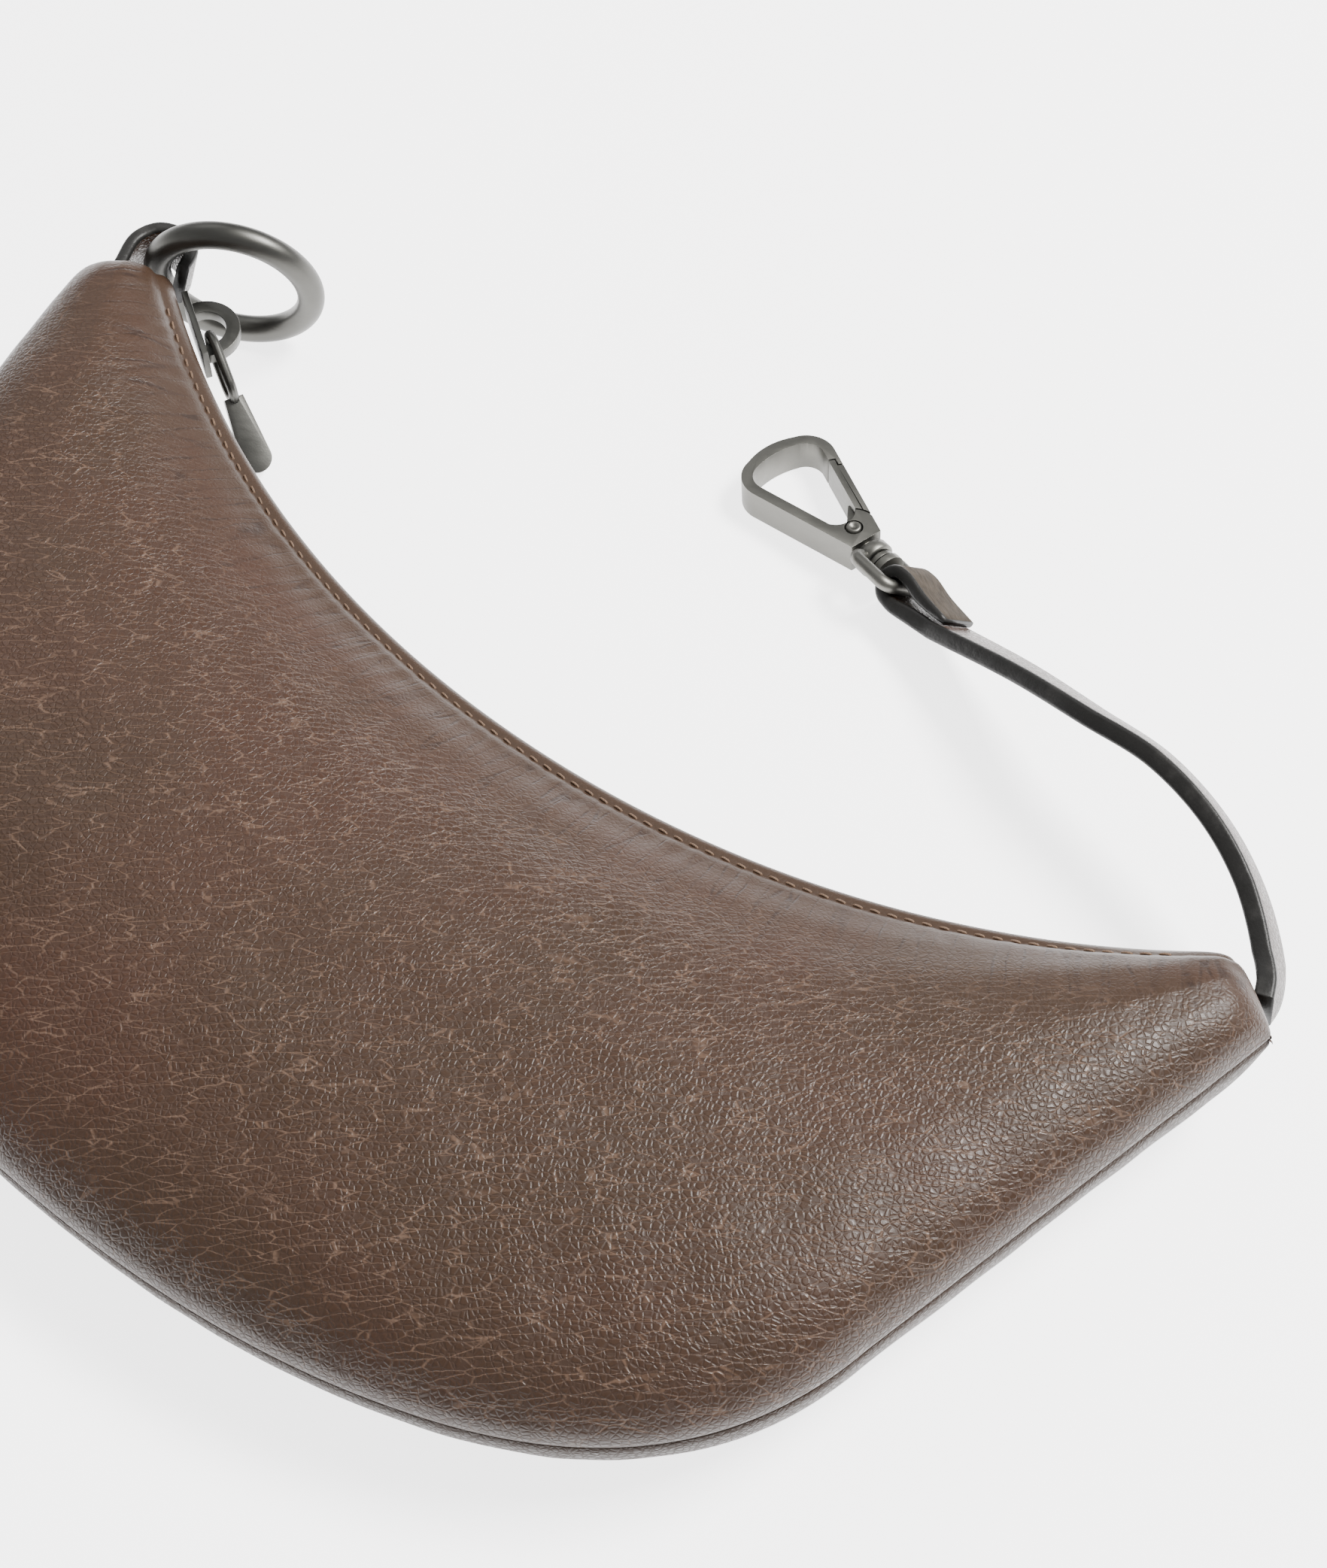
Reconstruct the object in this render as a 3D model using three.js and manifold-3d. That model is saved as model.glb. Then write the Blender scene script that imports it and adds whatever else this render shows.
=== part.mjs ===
import * as THREE from 'three';
import { mergeVertices } from 'three/addons/utils/BufferGeometryUtils.js';
import Module from 'manifold-3d';

// Crescent zip pouch lying on its back, with an O-ring in a loop at the left tip and a strap with a
// snap hook at the right tip. Millimetres, X from the left tip to the right tip, Y from the bottom
// seam towards the zip, Z up. The zip edge's lowest point is at X = 0, Y = 0 while it is drawn.

const GAP = 0.3;

// Outline of the leather, one half, mirrored about X = 0.
const POUCH = {
  zipHalf: 107.5,
  zipRise: 33.5,
  tipHalf: 119.7,
  tipDrop: 9,
  depth: 102,
  bottomFlat: 34.2,
  bottomHalf: 60,
  bottomRise: 9.4,
  cornerHalf: 96.5,
  cornerRise: 22.3,
  sideHalf: 102.3,
  sideRise: 54,
};

const LEATHER = {
  wall: 1.5,
  seamHeight: 16,
  zipHeight: 12.3,
  tipLift: 4.6,
  topHeight: 30.5,
  tipTopHeight: 28,
  tipUnderside: 8,
  flatShare: 0.45,
  endWallShare: 0.94,
  endWallPower: 2.6,
  columns: 30,
  endSteps: 5,
};

// Sections from the zip border to the seam: share of the depth, share of the rise.
const FRONT_SECTION = [
  [0, 0], [0.05, 0.2], [0.13, 0.5], [0.27, 0.82], [0.46, 1],
  [0.66, 0.985], [0.83, 0.83], [0.93, 0.6], [0.985, 0.28], [1, 0],
];
const BACK_SECTION = [
  [0, 0], [0.04, 0.25], [0.12, 0.68], [0.24, 0.94], [0.34, 1],
  [0.74, 1], [0.87, 0.92], [0.95, 0.7], [0.99, 0.35], [1, 0],
];
const SECTION_STEPS = 17;

const ZIP = {
  opening: 4.2,
  chainHeight: 3.4,
  chainDepth: 2.2,
  tapeThickness: 0.8,
  tapeInset: 3,
  tapeHeight: 5.6,
  lengthShare: 0.88,
  segments: 40,
};

const SLIDER = {
  place: -99,
  length: 14,
  plateDepth: 1.1,
  plateHeight: 7,
  eyeRadius: 6,
  eyeBore: 3.6,
  eyeThickness: 2.2,
  eyeReach: 2.75,
};

const PULL = {
  hangAngle: 38.5,
  splay: 6,
  rod: 1.7,
  linkBore: 2.3,
  linkLength: 5.5,
  length: 21.8,
  headWidth: 3.4,
  endWidth: 5.4,
  thickness: 1.7,
};

const RING = {
  radius: 13.6,
  wire: 4.8,
  centreX: -101.9,
  centreY: 41.8,
  turn: 31,
  lean: 9,
  segments: 44,
  sides: 12,
};

const LOOP = {
  width: 9.5,
  thickness: 2.2,
  height: 18.4,
  lean: 17,
  // centre line of the standing strip, from the tip's end wall round to the zip corner
  route: [[-116.4, 27.9], [-118.8, 34.4], [-117.4, 38.5], [-113.5, 40], [-109.2, 38.4], [-107.1, 34]],
};

const STRAP = {
  width: 8.4,
  thickness: 3,
  foldThickness: 2.2,
  endThickness: 1.2,
  turnedBack: 12,
  // centre line from the right tip to the hook: X, Y, Z and the lean of the width, in degrees
  route: [
    [115.5, 29.7, 17.4, 6], [114.6, 33, 17.6, 16], [111.8, 37.3, 17.9, 28], [103.7, 44.9, 19.5, 30],
    [93.7, 50.5, 21.2, 34], [81.4, 54.4, 21.5, 38], [67.9, 56.6, 18.8, 42], [53, 60.4, 13.4, 46],
  ],
};

const HOOK = {
  pivotX: 12.1,
  pivotY: 71.5,
  azimuth: -15.5,
  tailLift: 4.5,
  thickness: 5.8,
  noseReach: 18,
  noseHalf: 3.6,
  noseRadius: 5.3,
  noseBulge: 0.9,
  sideAngle: 15.8,
  blockEnd: 3.4,
  sideBar: 2,
  noseBar: 2.3,
  boreEnd: -3.1,
  boreEndRadius: 1.5,
};

const GATE = {
  jointOuter: 14.7,
  jointInner: 16.1,
  blockArc: 4.1,
  tongue: 2,
  tongueRadius: 2.4,
  armHalf: 1.3,
  rivetRadius: 1.3,
  swing: 25,
};

const SWIVEL = {
  neckRadius: 1.9,
  bossRadius: 3.3,
  topBar: 5.5,
  endBar: 14.2,
  rod: 2.4,
  halfWidth: 5.7,
  cornerRadius: 1.8,
  headRadius: 3.1,
  headLength: 2.6,
  lean: 50,
  sides: 10,
};

const COLOURS = {
  leather: 0x6f5547,
  leatherBack: 0x75604f,
  edge: 0x3b3936,
  tape: 0x4a4038,
  gunmetal: 0x5f5f5c,
  nickel: 0x93928a,
};

const wasm = await Module();
wasm.setup();

const radians = THREE.MathUtils.degToRad;

function toSolid(geometry) {
  const bare = geometry.clone();
  bare.deleteAttribute('normal');
  bare.deleteAttribute('uv');
  const merged = mergeVertices(bare, 1e-4);
  const vertProperties = new Float32Array(merged.attributes.position.array);
  const triVerts = new Uint32Array(merged.index.array);
  return new wasm.Manifold(new wasm.Mesh({ numProp: 3, vertProperties, triVerts }));
}

function toGeometry(solid) {
  const mesh = solid.getMesh();
  const geometry = new THREE.BufferGeometry();
  geometry.setAttribute('position', new THREE.BufferAttribute(new Float32Array(mesh.vertProperties), 3));
  geometry.setIndex(new THREE.BufferAttribute(new Uint32Array(mesh.triVerts), 1));
  return geometry;
}

function moved(geometry, x, y, z) {
  return geometry.clone().translate(x, y, z);
}

function named(name, geometry, colour, metalness, roughness) {
  const mesh = new THREE.Mesh(geometry, new THREE.MeshStandardMaterial({ color: colour, metalness, roughness }));
  mesh.name = name;
  return mesh;
}

// Closed surface through a ring of section points at each station; the ends are fans or wrap round.
function loft(sections, wraps) {
  const count = sections[0].length;
  const positions = sections.flat().flatMap((p) => [p.x, p.y, p.z]);
  const faces = [];
  const last = wraps ? sections.length : sections.length - 1;
  for (let i = 0; i < last; i += 1) {
    const here = i * count;
    const next = ((i + 1) % sections.length) * count;
    for (let j = 0; j < count; j += 1) {
      const k = (j + 1) % count;
      faces.push(here + j, here + k, next + k, here + j, next + k, next + j);
    }
  }
  if (!wraps) {
    const end = (sections.length - 1) * count;
    for (let j = 1; j < count - 1; j += 1) {
      faces.push(0, j + 1, j, end, end + j, end + j + 1);
    }
  }
  const geometry = new THREE.BufferGeometry();
  geometry.setAttribute('position', new THREE.Float32BufferAttribute(positions, 3));
  geometry.setIndex(faces);
  return geometry;
}

// Round rod along a closed, flat outline given as centre line points in the plane of two axes.
function closedRod(points, radius, sides, axisU, axisV) {
  const normal = new THREE.Vector3().crossVectors(axisU, axisV).normalize();
  const sections = points.map((point, i) => {
    const before = points[(i + points.length - 1) % points.length];
    const after = points[(i + 1) % points.length];
    const along = after.clone().sub(before).normalize();
    const out = new THREE.Vector3().crossVectors(normal, along).normalize();
    return ringOf(point, out, normal, radius, sides);
  });
  return loft(sections, true);
}

function ringOf(centre, axisA, axisB, radius, sides) {
  return Array.from({ length: sides }, (_, j) => {
    const angle = (2 * Math.PI * (j + 0.5)) / sides;
    return centre.clone()
      .addScaledVector(axisA, radius * Math.cos(angle))
      .addScaledVector(axisB, radius * Math.sin(angle));
  });
}

// Leather panels

const zipRadius = (POUCH.zipHalf ** 2 + POUCH.zipRise ** 2) / (2 * POUCH.zipRise);
const zipHalfAngle = Math.asin(POUCH.zipHalf / zipRadius);

function zipPoint(angle, inset) {
  const radius = zipRadius + inset;
  return new THREE.Vector2(radius * Math.sin(angle), zipRadius - radius * Math.cos(angle));
}

// Height of the pouch's middle surface: share runs from tip to tip, along from the zip to the seam.
function middleHeight(share, along) {
  return THREE.MathUtils.lerp(LEATHER.zipHeight, LEATHER.seamHeight, along) + LEATHER.tipLift * Math.abs(share) ** 3;
}

function seamHalfPath() {
  const bottom = -POUCH.depth;
  const path = new THREE.Path();
  path.moveTo(0, bottom);
  path.quadraticCurveTo(POUCH.bottomFlat, bottom, POUCH.bottomHalf, bottom + POUCH.bottomRise);
  path.quadraticCurveTo(POUCH.cornerHalf, bottom + POUCH.cornerRise, POUCH.sideHalf, bottom + POUCH.sideRise);
  path.lineTo(POUCH.tipHalf, POUCH.zipRise - POUCH.tipDrop);
  return path;
}

const seamPath = seamHalfPath();

function columnShares() {
  const middle = Array.from({ length: LEATHER.columns + 1 }, (_, i) => {
    return LEATHER.endWallShare * (-1 + (2 * i) / LEATHER.columns);
  });
  const end = [];
  for (let i = 1; i <= LEATHER.endSteps; i += 1) {
    const angle = (Math.PI / 2) * (i / LEATHER.endSteps);
    const share = LEATHER.endWallShare + (1 - LEATHER.endWallShare) * Math.sin(angle) ** (2 / LEATHER.endWallPower);
    end.push(share);
  }
  return [...end.map((share) => -share).reverse(), ...middle, ...end];
}

function endWallFactor(share) {
  const beyond = (Math.abs(share) - LEATHER.endWallShare) / (1 - LEATHER.endWallShare);
  if (beyond <= 0) return 1;
  return Math.max(0, 1 - Math.min(1, beyond) ** LEATHER.endWallPower) ** (1 / LEATHER.endWallPower);
}

function sectionCurve(table) {
  return new THREE.CatmullRomCurve3(table.map(([along, up]) => new THREE.Vector3(along, up, 0)), false, 'centripetal');
}

// Height of the top of the front panel, or of the underside of the back panel, at a share.
function crownHeight(share, side) {
  const size = Math.abs(share);
  if (side > 0) return THREE.MathUtils.lerp(LEATHER.topHeight, LEATHER.tipTopHeight, size ** 3);
  return LEATHER.tipUnderside * THREE.MathUtils.smoothstep(size, LEATHER.flatShare, 1);
}

// Outer face of a panel: columns from tip to tip, rows from the zip border to the seam.
function panelFace(table, side) {
  const curve = sectionCurve(table);
  const border = ZIP.opening / 2 + LEATHER.wall - GAP / 2;
  return columnShares().map((share) => {
    const size = Math.abs(share);
    const zip = zipPoint(zipHalfAngle * share, 0);
    const seam = seamPath.getPointAt(size);
    seam.x *= Math.sign(share) || 1;
    return Array.from({ length: SECTION_STEPS + 1 }, (_, j) => {
      const station = curve.getPointAt(j / SECTION_STEPS);
      const along = station.x;
      const up = Math.min(1, station.y);
      const edge = border * (1 - along) ** 4;
      const middle = middleHeight(share, along);
      const full = side * (crownHeight(share, side) - middle) - GAP / 2;
      const lift = edge + (full - edge) * up;
      const height = middle + side * (GAP / 2 + lift * endWallFactor(share));
      return new THREE.Vector3(zip.x + (seam.x - zip.x) * along, zip.y + (seam.y - zip.y) * along, height);
    });
  });
}

function sectionMiddles(table) {
  const curve = sectionCurve(table);
  return columnShares().map((share) => Array.from({ length: SECTION_STEPS + 1 }, (_, j) => {
    return middleHeight(share, curve.getPointAt(j / SECTION_STEPS).x);
  }));
}

function faceNormals(face, side) {
  return face.map((column, i) => column.map((point, j) => {
    const across = face[Math.min(i + 1, face.length - 1)][j].clone().sub(face[Math.max(i - 1, 0)][j]);
    const down = column[Math.min(j + 1, column.length - 1)].clone().sub(column[Math.max(j - 1, 0)]);
    return across.cross(down).normalize().multiplyScalar(-side);
  }));
}

function panel(table, side) {
  const face = panelFace(table, side);
  const normals = faceNormals(face, side);
  const middles = sectionMiddles(table);
  const lining = face.map((column, i) => column.map((point, j) => {
    const inner = point.clone().addScaledVector(normals[i][j], -LEATHER.wall);
    const limit = middles[i][j] + side * GAP;
    inner.z = side > 0 ? Math.max(inner.z, limit) : Math.min(inner.z, limit);
    return inner;
  }));
  const sections = face.map((column, i) => [...column, ...lining[i].slice().reverse()]);
  if (side < 0) sections.forEach((section) => section.reverse());
  return loft(sections, false);
}

// Zip

function zipBand(inset, depth, height) {
  const sections = Array.from({ length: ZIP.segments + 1 }, (_, i) => {
    const share = ZIP.lengthShare * (-1 + (2 * i) / ZIP.segments);
    const near = zipPoint(zipHalfAngle * share, inset);
    const far = zipPoint(zipHalfAngle * share, inset + depth);
    const low = middleHeight(share, 0) - height / 2;
    return [[near, 0], [near, height], [far, height], [far, 0]].map(([at, up]) => {
      return new THREE.Vector3(at.x, at.y, low + up);
    });
  });
  return loft(sections, false);
}

// Slider, drawn with X along the zip, Y outward and Z up.
function sliderGeometry() {
  const plate = new THREE.BoxGeometry(SLIDER.length, SLIDER.plateDepth, SLIDER.plateHeight);
  const plateSolid = toSolid(moved(plate, 0, 2 * GAP + SLIDER.plateDepth / 2, 0));
  const disc = new THREE.CylinderGeometry(SLIDER.eyeRadius, SLIDER.eyeRadius, SLIDER.eyeThickness, 40);
  const bore = new THREE.CylinderGeometry(SLIDER.eyeBore, SLIDER.eyeBore, 2 * SLIDER.eyeThickness, 32);
  const reach = 2 * SLIDER.eyeRadius;
  const room = new THREE.BoxGeometry(reach + 1, reach, reach);
  const eye = toSolid(moved(disc.rotateX(Math.PI / 2), 0, SLIDER.eyeReach, 0))
    .subtract(toSolid(moved(bore.rotateX(Math.PI / 2), 0, SLIDER.eyeReach, 0)))
    .intersect(toSolid(moved(room, 0, 2 * GAP + reach / 2, 0)));
  return toGeometry(plateSolid.add(eye));
}

// Pull, drawn with its hinge axis on Y, its length along X and its face up.
function pullGeometry() {
  const loopRadius = PULL.linkBore + PULL.rod / 2;
  const points = [];
  const steps = 12;
  for (let i = 0; i <= steps; i += 1) {
    const angle = Math.PI / 2 + (Math.PI * i) / steps;
    points.push(new THREE.Vector3(loopRadius * Math.cos(angle), 0, loopRadius * Math.sin(angle)));
  }
  for (let i = 0; i <= steps; i += 1) {
    const angle = -Math.PI / 2 + (Math.PI * i) / steps;
    points.push(new THREE.Vector3(PULL.linkLength + loopRadius * Math.cos(angle), 0, loopRadius * Math.sin(angle)));
  }
  const link = closedRod(points, PULL.rod / 2, 10, new THREE.Vector3(1, 0, 0), new THREE.Vector3(0, 0, 1));
  const start = PULL.linkLength + loopRadius - PULL.rod / 4;
  const round = PULL.endWidth / 2;
  const bar = new THREE.Shape();
  bar.moveTo(start, -PULL.headWidth / 2);
  bar.lineTo(PULL.length - round, -round);
  bar.absarc(PULL.length - round, 0, round, -Math.PI / 2, Math.PI / 2, false);
  bar.lineTo(start, PULL.headWidth / 2);
  const plate = new THREE.ExtrudeGeometry(bar, { depth: PULL.thickness, bevelEnabled: false, curveSegments: 10 });
  return toGeometry(toSolid(link).add(toSolid(moved(plate, 0, 0, -PULL.thickness / 2))));
}

function sliderGroup() {
  const angle = Math.asin(SLIDER.place / zipRadius);
  const share = angle / zipHalfAngle;
  const seat = zipPoint(angle, 0);
  const rise = middleHeight(share - 0.01, 0) - middleHeight(share + 0.01, 0);
  const slope = Math.atan(rise / (0.02 * zipHalfAngle * zipRadius));
  const group = new THREE.Group();
  group.position.set(seat.x, seat.y, middleHeight(share, 0));
  group.rotation.set(0, slope, angle, 'ZYX');
  group.add(named('zip_slider', sliderGeometry(), COLOURS.gunmetal, 0.9, 0.35));

  const hinge = new THREE.Group();
  const rim = (SLIDER.eyeRadius + SLIDER.eyeBore) / 2;
  const splay = radians(PULL.splay);
  hinge.position.set(rim * Math.cos(splay), SLIDER.eyeReach + rim * Math.sin(splay), 0);
  hinge.rotation.set(0, radians(PULL.hangAngle) - slope, splay, 'ZYX');
  hinge.add(named('zip_pull', pullGeometry(), COLOURS.gunmetal, 0.9, 0.4));
  group.add(hinge);
  return group;
}

// O-ring and its loop

function ringMesh() {
  const geometry = new THREE.TorusGeometry(RING.radius, RING.wire / 2, RING.sides, RING.segments);
  const mesh = named('o_ring', geometry, COLOURS.gunmetal, 0.95, 0.32);
  const lean = radians(RING.lean);
  mesh.rotation.set(Math.PI / 2 + lean, 0, radians(RING.turn), 'ZYX');
  mesh.position.set(RING.centreX, RING.centreY, RING.radius * Math.cos(lean) + RING.wire / 2);
  return mesh;
}

function stripSection(centre, out, wide, thickness, width) {
  const corners = [[-1, -1], [1, -1], [1, 1], [-1, 1]];
  return corners.map(([a, b]) => centre.clone()
    .addScaledVector(out, (a * thickness) / 2)
    .addScaledVector(wide, (b * width) / 2));
}

function loopGeometry() {
  const curve = new THREE.CatmullRomCurve3(LOOP.route.map(([x, y]) => new THREE.Vector3(x, y, LOOP.height)));
  const up = new THREE.Vector3(0, 0, 1).applyAxisAngle(new THREE.Vector3(0, 1, 0), radians(LOOP.lean))
    .applyAxisAngle(new THREE.Vector3(0, 0, 1), radians(RING.turn));
  const steps = 26;
  const sections = Array.from({ length: steps + 1 }, (_, i) => {
    const along = curve.getTangentAt(i / steps);
    const out = new THREE.Vector3().crossVectors(up, along).normalize();
    return stripSection(curve.getPointAt(i / steps), out, up, LOOP.thickness, LOOP.width);
  });
  return loft(sections, false);
}

// Hook, drawn with its rivet on Z at the origin, the nose towards -X and the gate on +Y.

function hookOutline(shrinkSide, shrinkNose) {
  const slope = Math.PI / 2 - radians(HOOK.sideAngle);
  const radius = HOOK.noseRadius - shrinkSide;
  const centreX = -HOOK.noseReach;
  const shape = new THREE.Shape();
  const tangentX = centreX + radius * Math.cos(slope);
  const tangentY = HOOK.noseHalf + radius * Math.sin(slope);
  const end = shrinkSide > 0 ? HOOK.boreEnd : HOOK.blockEnd;
  const endY = tangentY - (end - tangentX) * Math.tan(radians(HOOK.sideAngle));
  const noseX = centreX - HOOK.noseRadius - HOOK.noseBulge + shrinkNose;
  shape.moveTo(end, -endY);
  shape.lineTo(tangentX, -tangentY);
  shape.absarc(centreX, -HOOK.noseHalf, radius, -slope, -Math.PI * 0.92, true);
  shape.quadraticCurveTo(2 * noseX - shape.currentPoint.x, 0, shape.currentPoint.x, -shape.currentPoint.y);
  shape.absarc(centreX, HOOK.noseHalf, radius, Math.PI * 0.92, slope, true);
  shape.lineTo(end, endY);
  if (shrinkSide > 0) {
    shape.quadraticCurveTo(end + HOOK.boreEndRadius, endY * 0.6, end + HOOK.boreEndRadius, 0);
    shape.quadraticCurveTo(end + HOOK.boreEndRadius, -endY * 0.6, end, -endY);
  }
  return shape;
}

function polygon(points) {
  return new THREE.Shape(points.map(([x, y]) => new THREE.Vector2(x, y)));
}

function slab(shape, thickness, segments) {
  const geometry = new THREE.ExtrudeGeometry(shape, { depth: thickness, bevelEnabled: false, curveSegments: segments });
  return toSolid(moved(geometry, 0, 0, -thickness / 2));
}

function drum(radius, height, segments) {
  return toSolid(new THREE.CylinderGeometry(radius, radius, height, segments).rotateX(Math.PI / 2));
}

function axleDrum(radius, from, to, segments) {
  const geometry = new THREE.CylinderGeometry(radius, radius, to - from, segments).rotateZ(Math.PI / 2);
  return toSolid(moved(geometry, (from + to) / 2, 0, 0));
}

function frameSolid() {
  return slab(hookOutline(0, 0), HOOK.thickness, 10)
    .subtract(slab(hookOutline(HOOK.sideBar, HOOK.noseBar), 2 * HOOK.thickness, 10));
}

// Middle line of the gate's bar in plan.
function gateLine(x) {
  const side = radians(HOOK.sideAngle);
  const outer = HOOK.noseHalf + HOOK.noseRadius / Math.cos(side);
  return outer - HOOK.sideBar / (2 * Math.cos(side)) - (x + HOOK.noseReach) * Math.tan(side);
}

// Plan region that the gate takes from the frame's bar, grown by a margin: a stepped end whose
// faces are arcs about the rivet, so that the gate swings inward past the frame.
function gateRegion(margin) {
  const near = 1;
  const far = -3 * HOOK.noseReach;
  const high = 3 * HOOK.noseReach;
  const outerHalf = slab(polygon([
    [near, gateLine(near) - margin], [near, high], [far, high], [far, gateLine(far) - margin],
  ]), 2 * HOOK.thickness, 1).intersect(drum(GATE.jointOuter + margin, 3 * HOOK.thickness, 90));
  const innerHalf = slab(polygon([
    [near, 0], [near, gateLine(near) + margin], [far, gateLine(far) + margin], [far, 0],
  ]), 2 * HOOK.thickness, 1).intersect(drum(GATE.jointInner + margin, 3 * HOOK.thickness, 90));
  return outerHalf.add(innerHalf).subtract(drum(GATE.blockArc + GAP - margin, 4 * HOOK.thickness, 36));
}

// Arm from the rivet to the gate's bar, turned inward by an angle.
function armShape(half, turn) {
  const reach = GATE.blockArc + 2 * GAP + HOOK.sideBar;
  const angle = Math.atan2(gateLine(-reach * 0.76), -reach * 0.76) + turn;
  const along = [Math.cos(angle), Math.sin(angle)];
  return polygon([[0, -half], [reach, -half], [reach, half], [0, half]].map(([x, y]) => {
    return [x * along[0] - y * along[1], x * along[1] + y * along[0]];
  }));
}

// Slot inside the block that clears the arm through its whole swing.
function slotSolid() {
  const thickness = GATE.tongue + 2 * GAP;
  const turns = [0, 0.25, 0.5, 0.75, 1];
  return turns.reduce(
    (solid, turn) => solid.add(slab(armShape(GATE.armHalf + GAP, radians(GATE.swing) * turn), thickness, 1)),
    drum(GATE.tongueRadius + GAP, thickness, 30),
  );
}

function bodySolid() {
  const neckEnd = SWIVEL.topBar + SWIVEL.rod / 2 + GAP;
  const headMiddle = neckEnd + SWIVEL.headLength / 2;
  const headEnd = neckEnd + SWIVEL.headLength;
  const groove = SWIVEL.headLength / 6;
  const head = axleDrum(SWIVEL.headRadius * 0.88, neckEnd, headMiddle - groove, 24)
    .add(axleDrum(SWIVEL.headRadius, headMiddle, headEnd, 24));
  return frameSolid()
    .subtract(gateRegion(GAP))
    .subtract(slotSolid())
    .subtract(drum(GATE.rivetRadius + GAP, 2 * HOOK.thickness, 24))
    .add(axleDrum(SWIVEL.neckRadius, HOOK.blockEnd - SWIVEL.neckRadius / 4, headEnd, 20))
    .add(head);
}

function gateSolid() {
  const bar = frameSolid().intersect(gateRegion(0));
  const tongue = drum(GATE.tongueRadius, GATE.tongue, 24).add(slab(armShape(GATE.armHalf, 0), GATE.tongue, 1));
  return bar.add(tongue).subtract(drum(GATE.rivetRadius + GAP, 2 * HOOK.thickness, 24));
}

function eyePath() {
  const half = SWIVEL.halfWidth;
  const round = SWIVEL.cornerRadius;
  const corners = [
    [SWIVEL.topBar + round, half - round, 90], [SWIVEL.topBar + round, round - half, 180],
    [SWIVEL.endBar - round, round - half, 270], [SWIVEL.endBar - round, half - round, 0],
  ];
  const steps = 6;
  const points = [];
  corners.forEach(([x, z, start]) => {
    for (let i = 0; i <= steps; i += 1) {
      const angle = radians(start + (90 * i) / steps);
      points.push(new THREE.Vector3(x + round * Math.cos(angle), 0, z + round * Math.sin(angle)));
    }
  });
  return points;
}

// Eye, drawn in the hook's axes with its width on Z.
function eyeGeometry() {
  const rod = closedRod(eyePath(), SWIVEL.rod / 2, SWIVEL.sides, new THREE.Vector3(1, 0, 0), new THREE.Vector3(0, 0, 1));
  const from = SWIVEL.topBar - SWIVEL.rod / 2;
  const to = SWIVEL.topBar + SWIVEL.rod / 2;
  return toGeometry(toSolid(rod)
    .add(axleDrum(SWIVEL.bossRadius, from, to, 28))
    .subtract(axleDrum(SWIVEL.neckRadius + GAP, from - 1, to + 1, 24)));
}

const hookPlace = new THREE.Matrix4();
const hookTilt = radians(HOOK.tailLift);
const pivotHeight = (HOOK.thickness / 2) * Math.cos(hookTilt)
  + (HOOK.noseReach + HOOK.noseRadius + HOOK.noseBulge / 2) * Math.sin(hookTilt);
hookPlace.makeRotationFromEuler(new THREE.Euler(0, -hookTilt, radians(HOOK.azimuth), 'ZYX'));
hookPlace.setPosition(HOOK.pivotX, HOOK.pivotY, pivotHeight);

function hookGroup() {
  const group = new THREE.Group();
  hookPlace.decompose(group.position, group.quaternion, group.scale);
  group.add(named('hook_body', toGeometry(bodySolid()), COLOURS.nickel, 0.95, 0.34));
  group.add(named('hook_gate', toGeometry(gateSolid()), COLOURS.nickel, 0.95, 0.34));
  group.add(named('gate_rivet', toGeometry(drum(GATE.rivetRadius, HOOK.thickness + 2 * GAP, 24)), COLOURS.nickel, 0.95, 0.3));
  const eye = named('swivel_eye', eyeGeometry(), COLOURS.nickel, 0.95, 0.3);
  eye.rotation.x = radians(SWIVEL.lean);
  group.add(eye);
  return group;
}

// Strap

const eyePlace = hookPlace.clone().multiply(new THREE.Matrix4().makeRotationX(radians(SWIVEL.lean)));

// Stations of the fold round the eye's end bar, in the eye's axes: the main run arrives on -Y.
function foldStations() {
  const inner = SWIVEL.rod / 2 + GAP;
  const centre = inner + STRAP.foldThickness / 2;
  const spread = (STRAP.thickness + STRAP.foldThickness) / 2 + GAP;
  const merge = SWIVEL.endBar + centre + 3;
  const stations = [];
  const add = (x, y, thickness) => stations.push({ x, y, thickness });
  add(merge + 4, -STRAP.thickness / 2 + GAP, STRAP.thickness);
  add(merge, -spread / 2 - 0.35, STRAP.thickness);
  add(SWIVEL.endBar + 1.6, -centre, STRAP.foldThickness + 0.3);
  const steps = 10;
  for (let i = 0; i <= steps; i += 1) {
    const angle = -Math.PI / 2 - (Math.PI * i) / steps;
    add(SWIVEL.endBar + centre * Math.cos(angle), centre * Math.sin(angle), STRAP.foldThickness);
  }
  add(SWIVEL.endBar + 1.6, centre, STRAP.foldThickness);
  add(merge, spread / 2 + 0.35, STRAP.foldThickness);
  add(SWIVEL.endBar + STRAP.turnedBack, spread / 2 + GAP, STRAP.endThickness);
  return stations;
}

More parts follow.
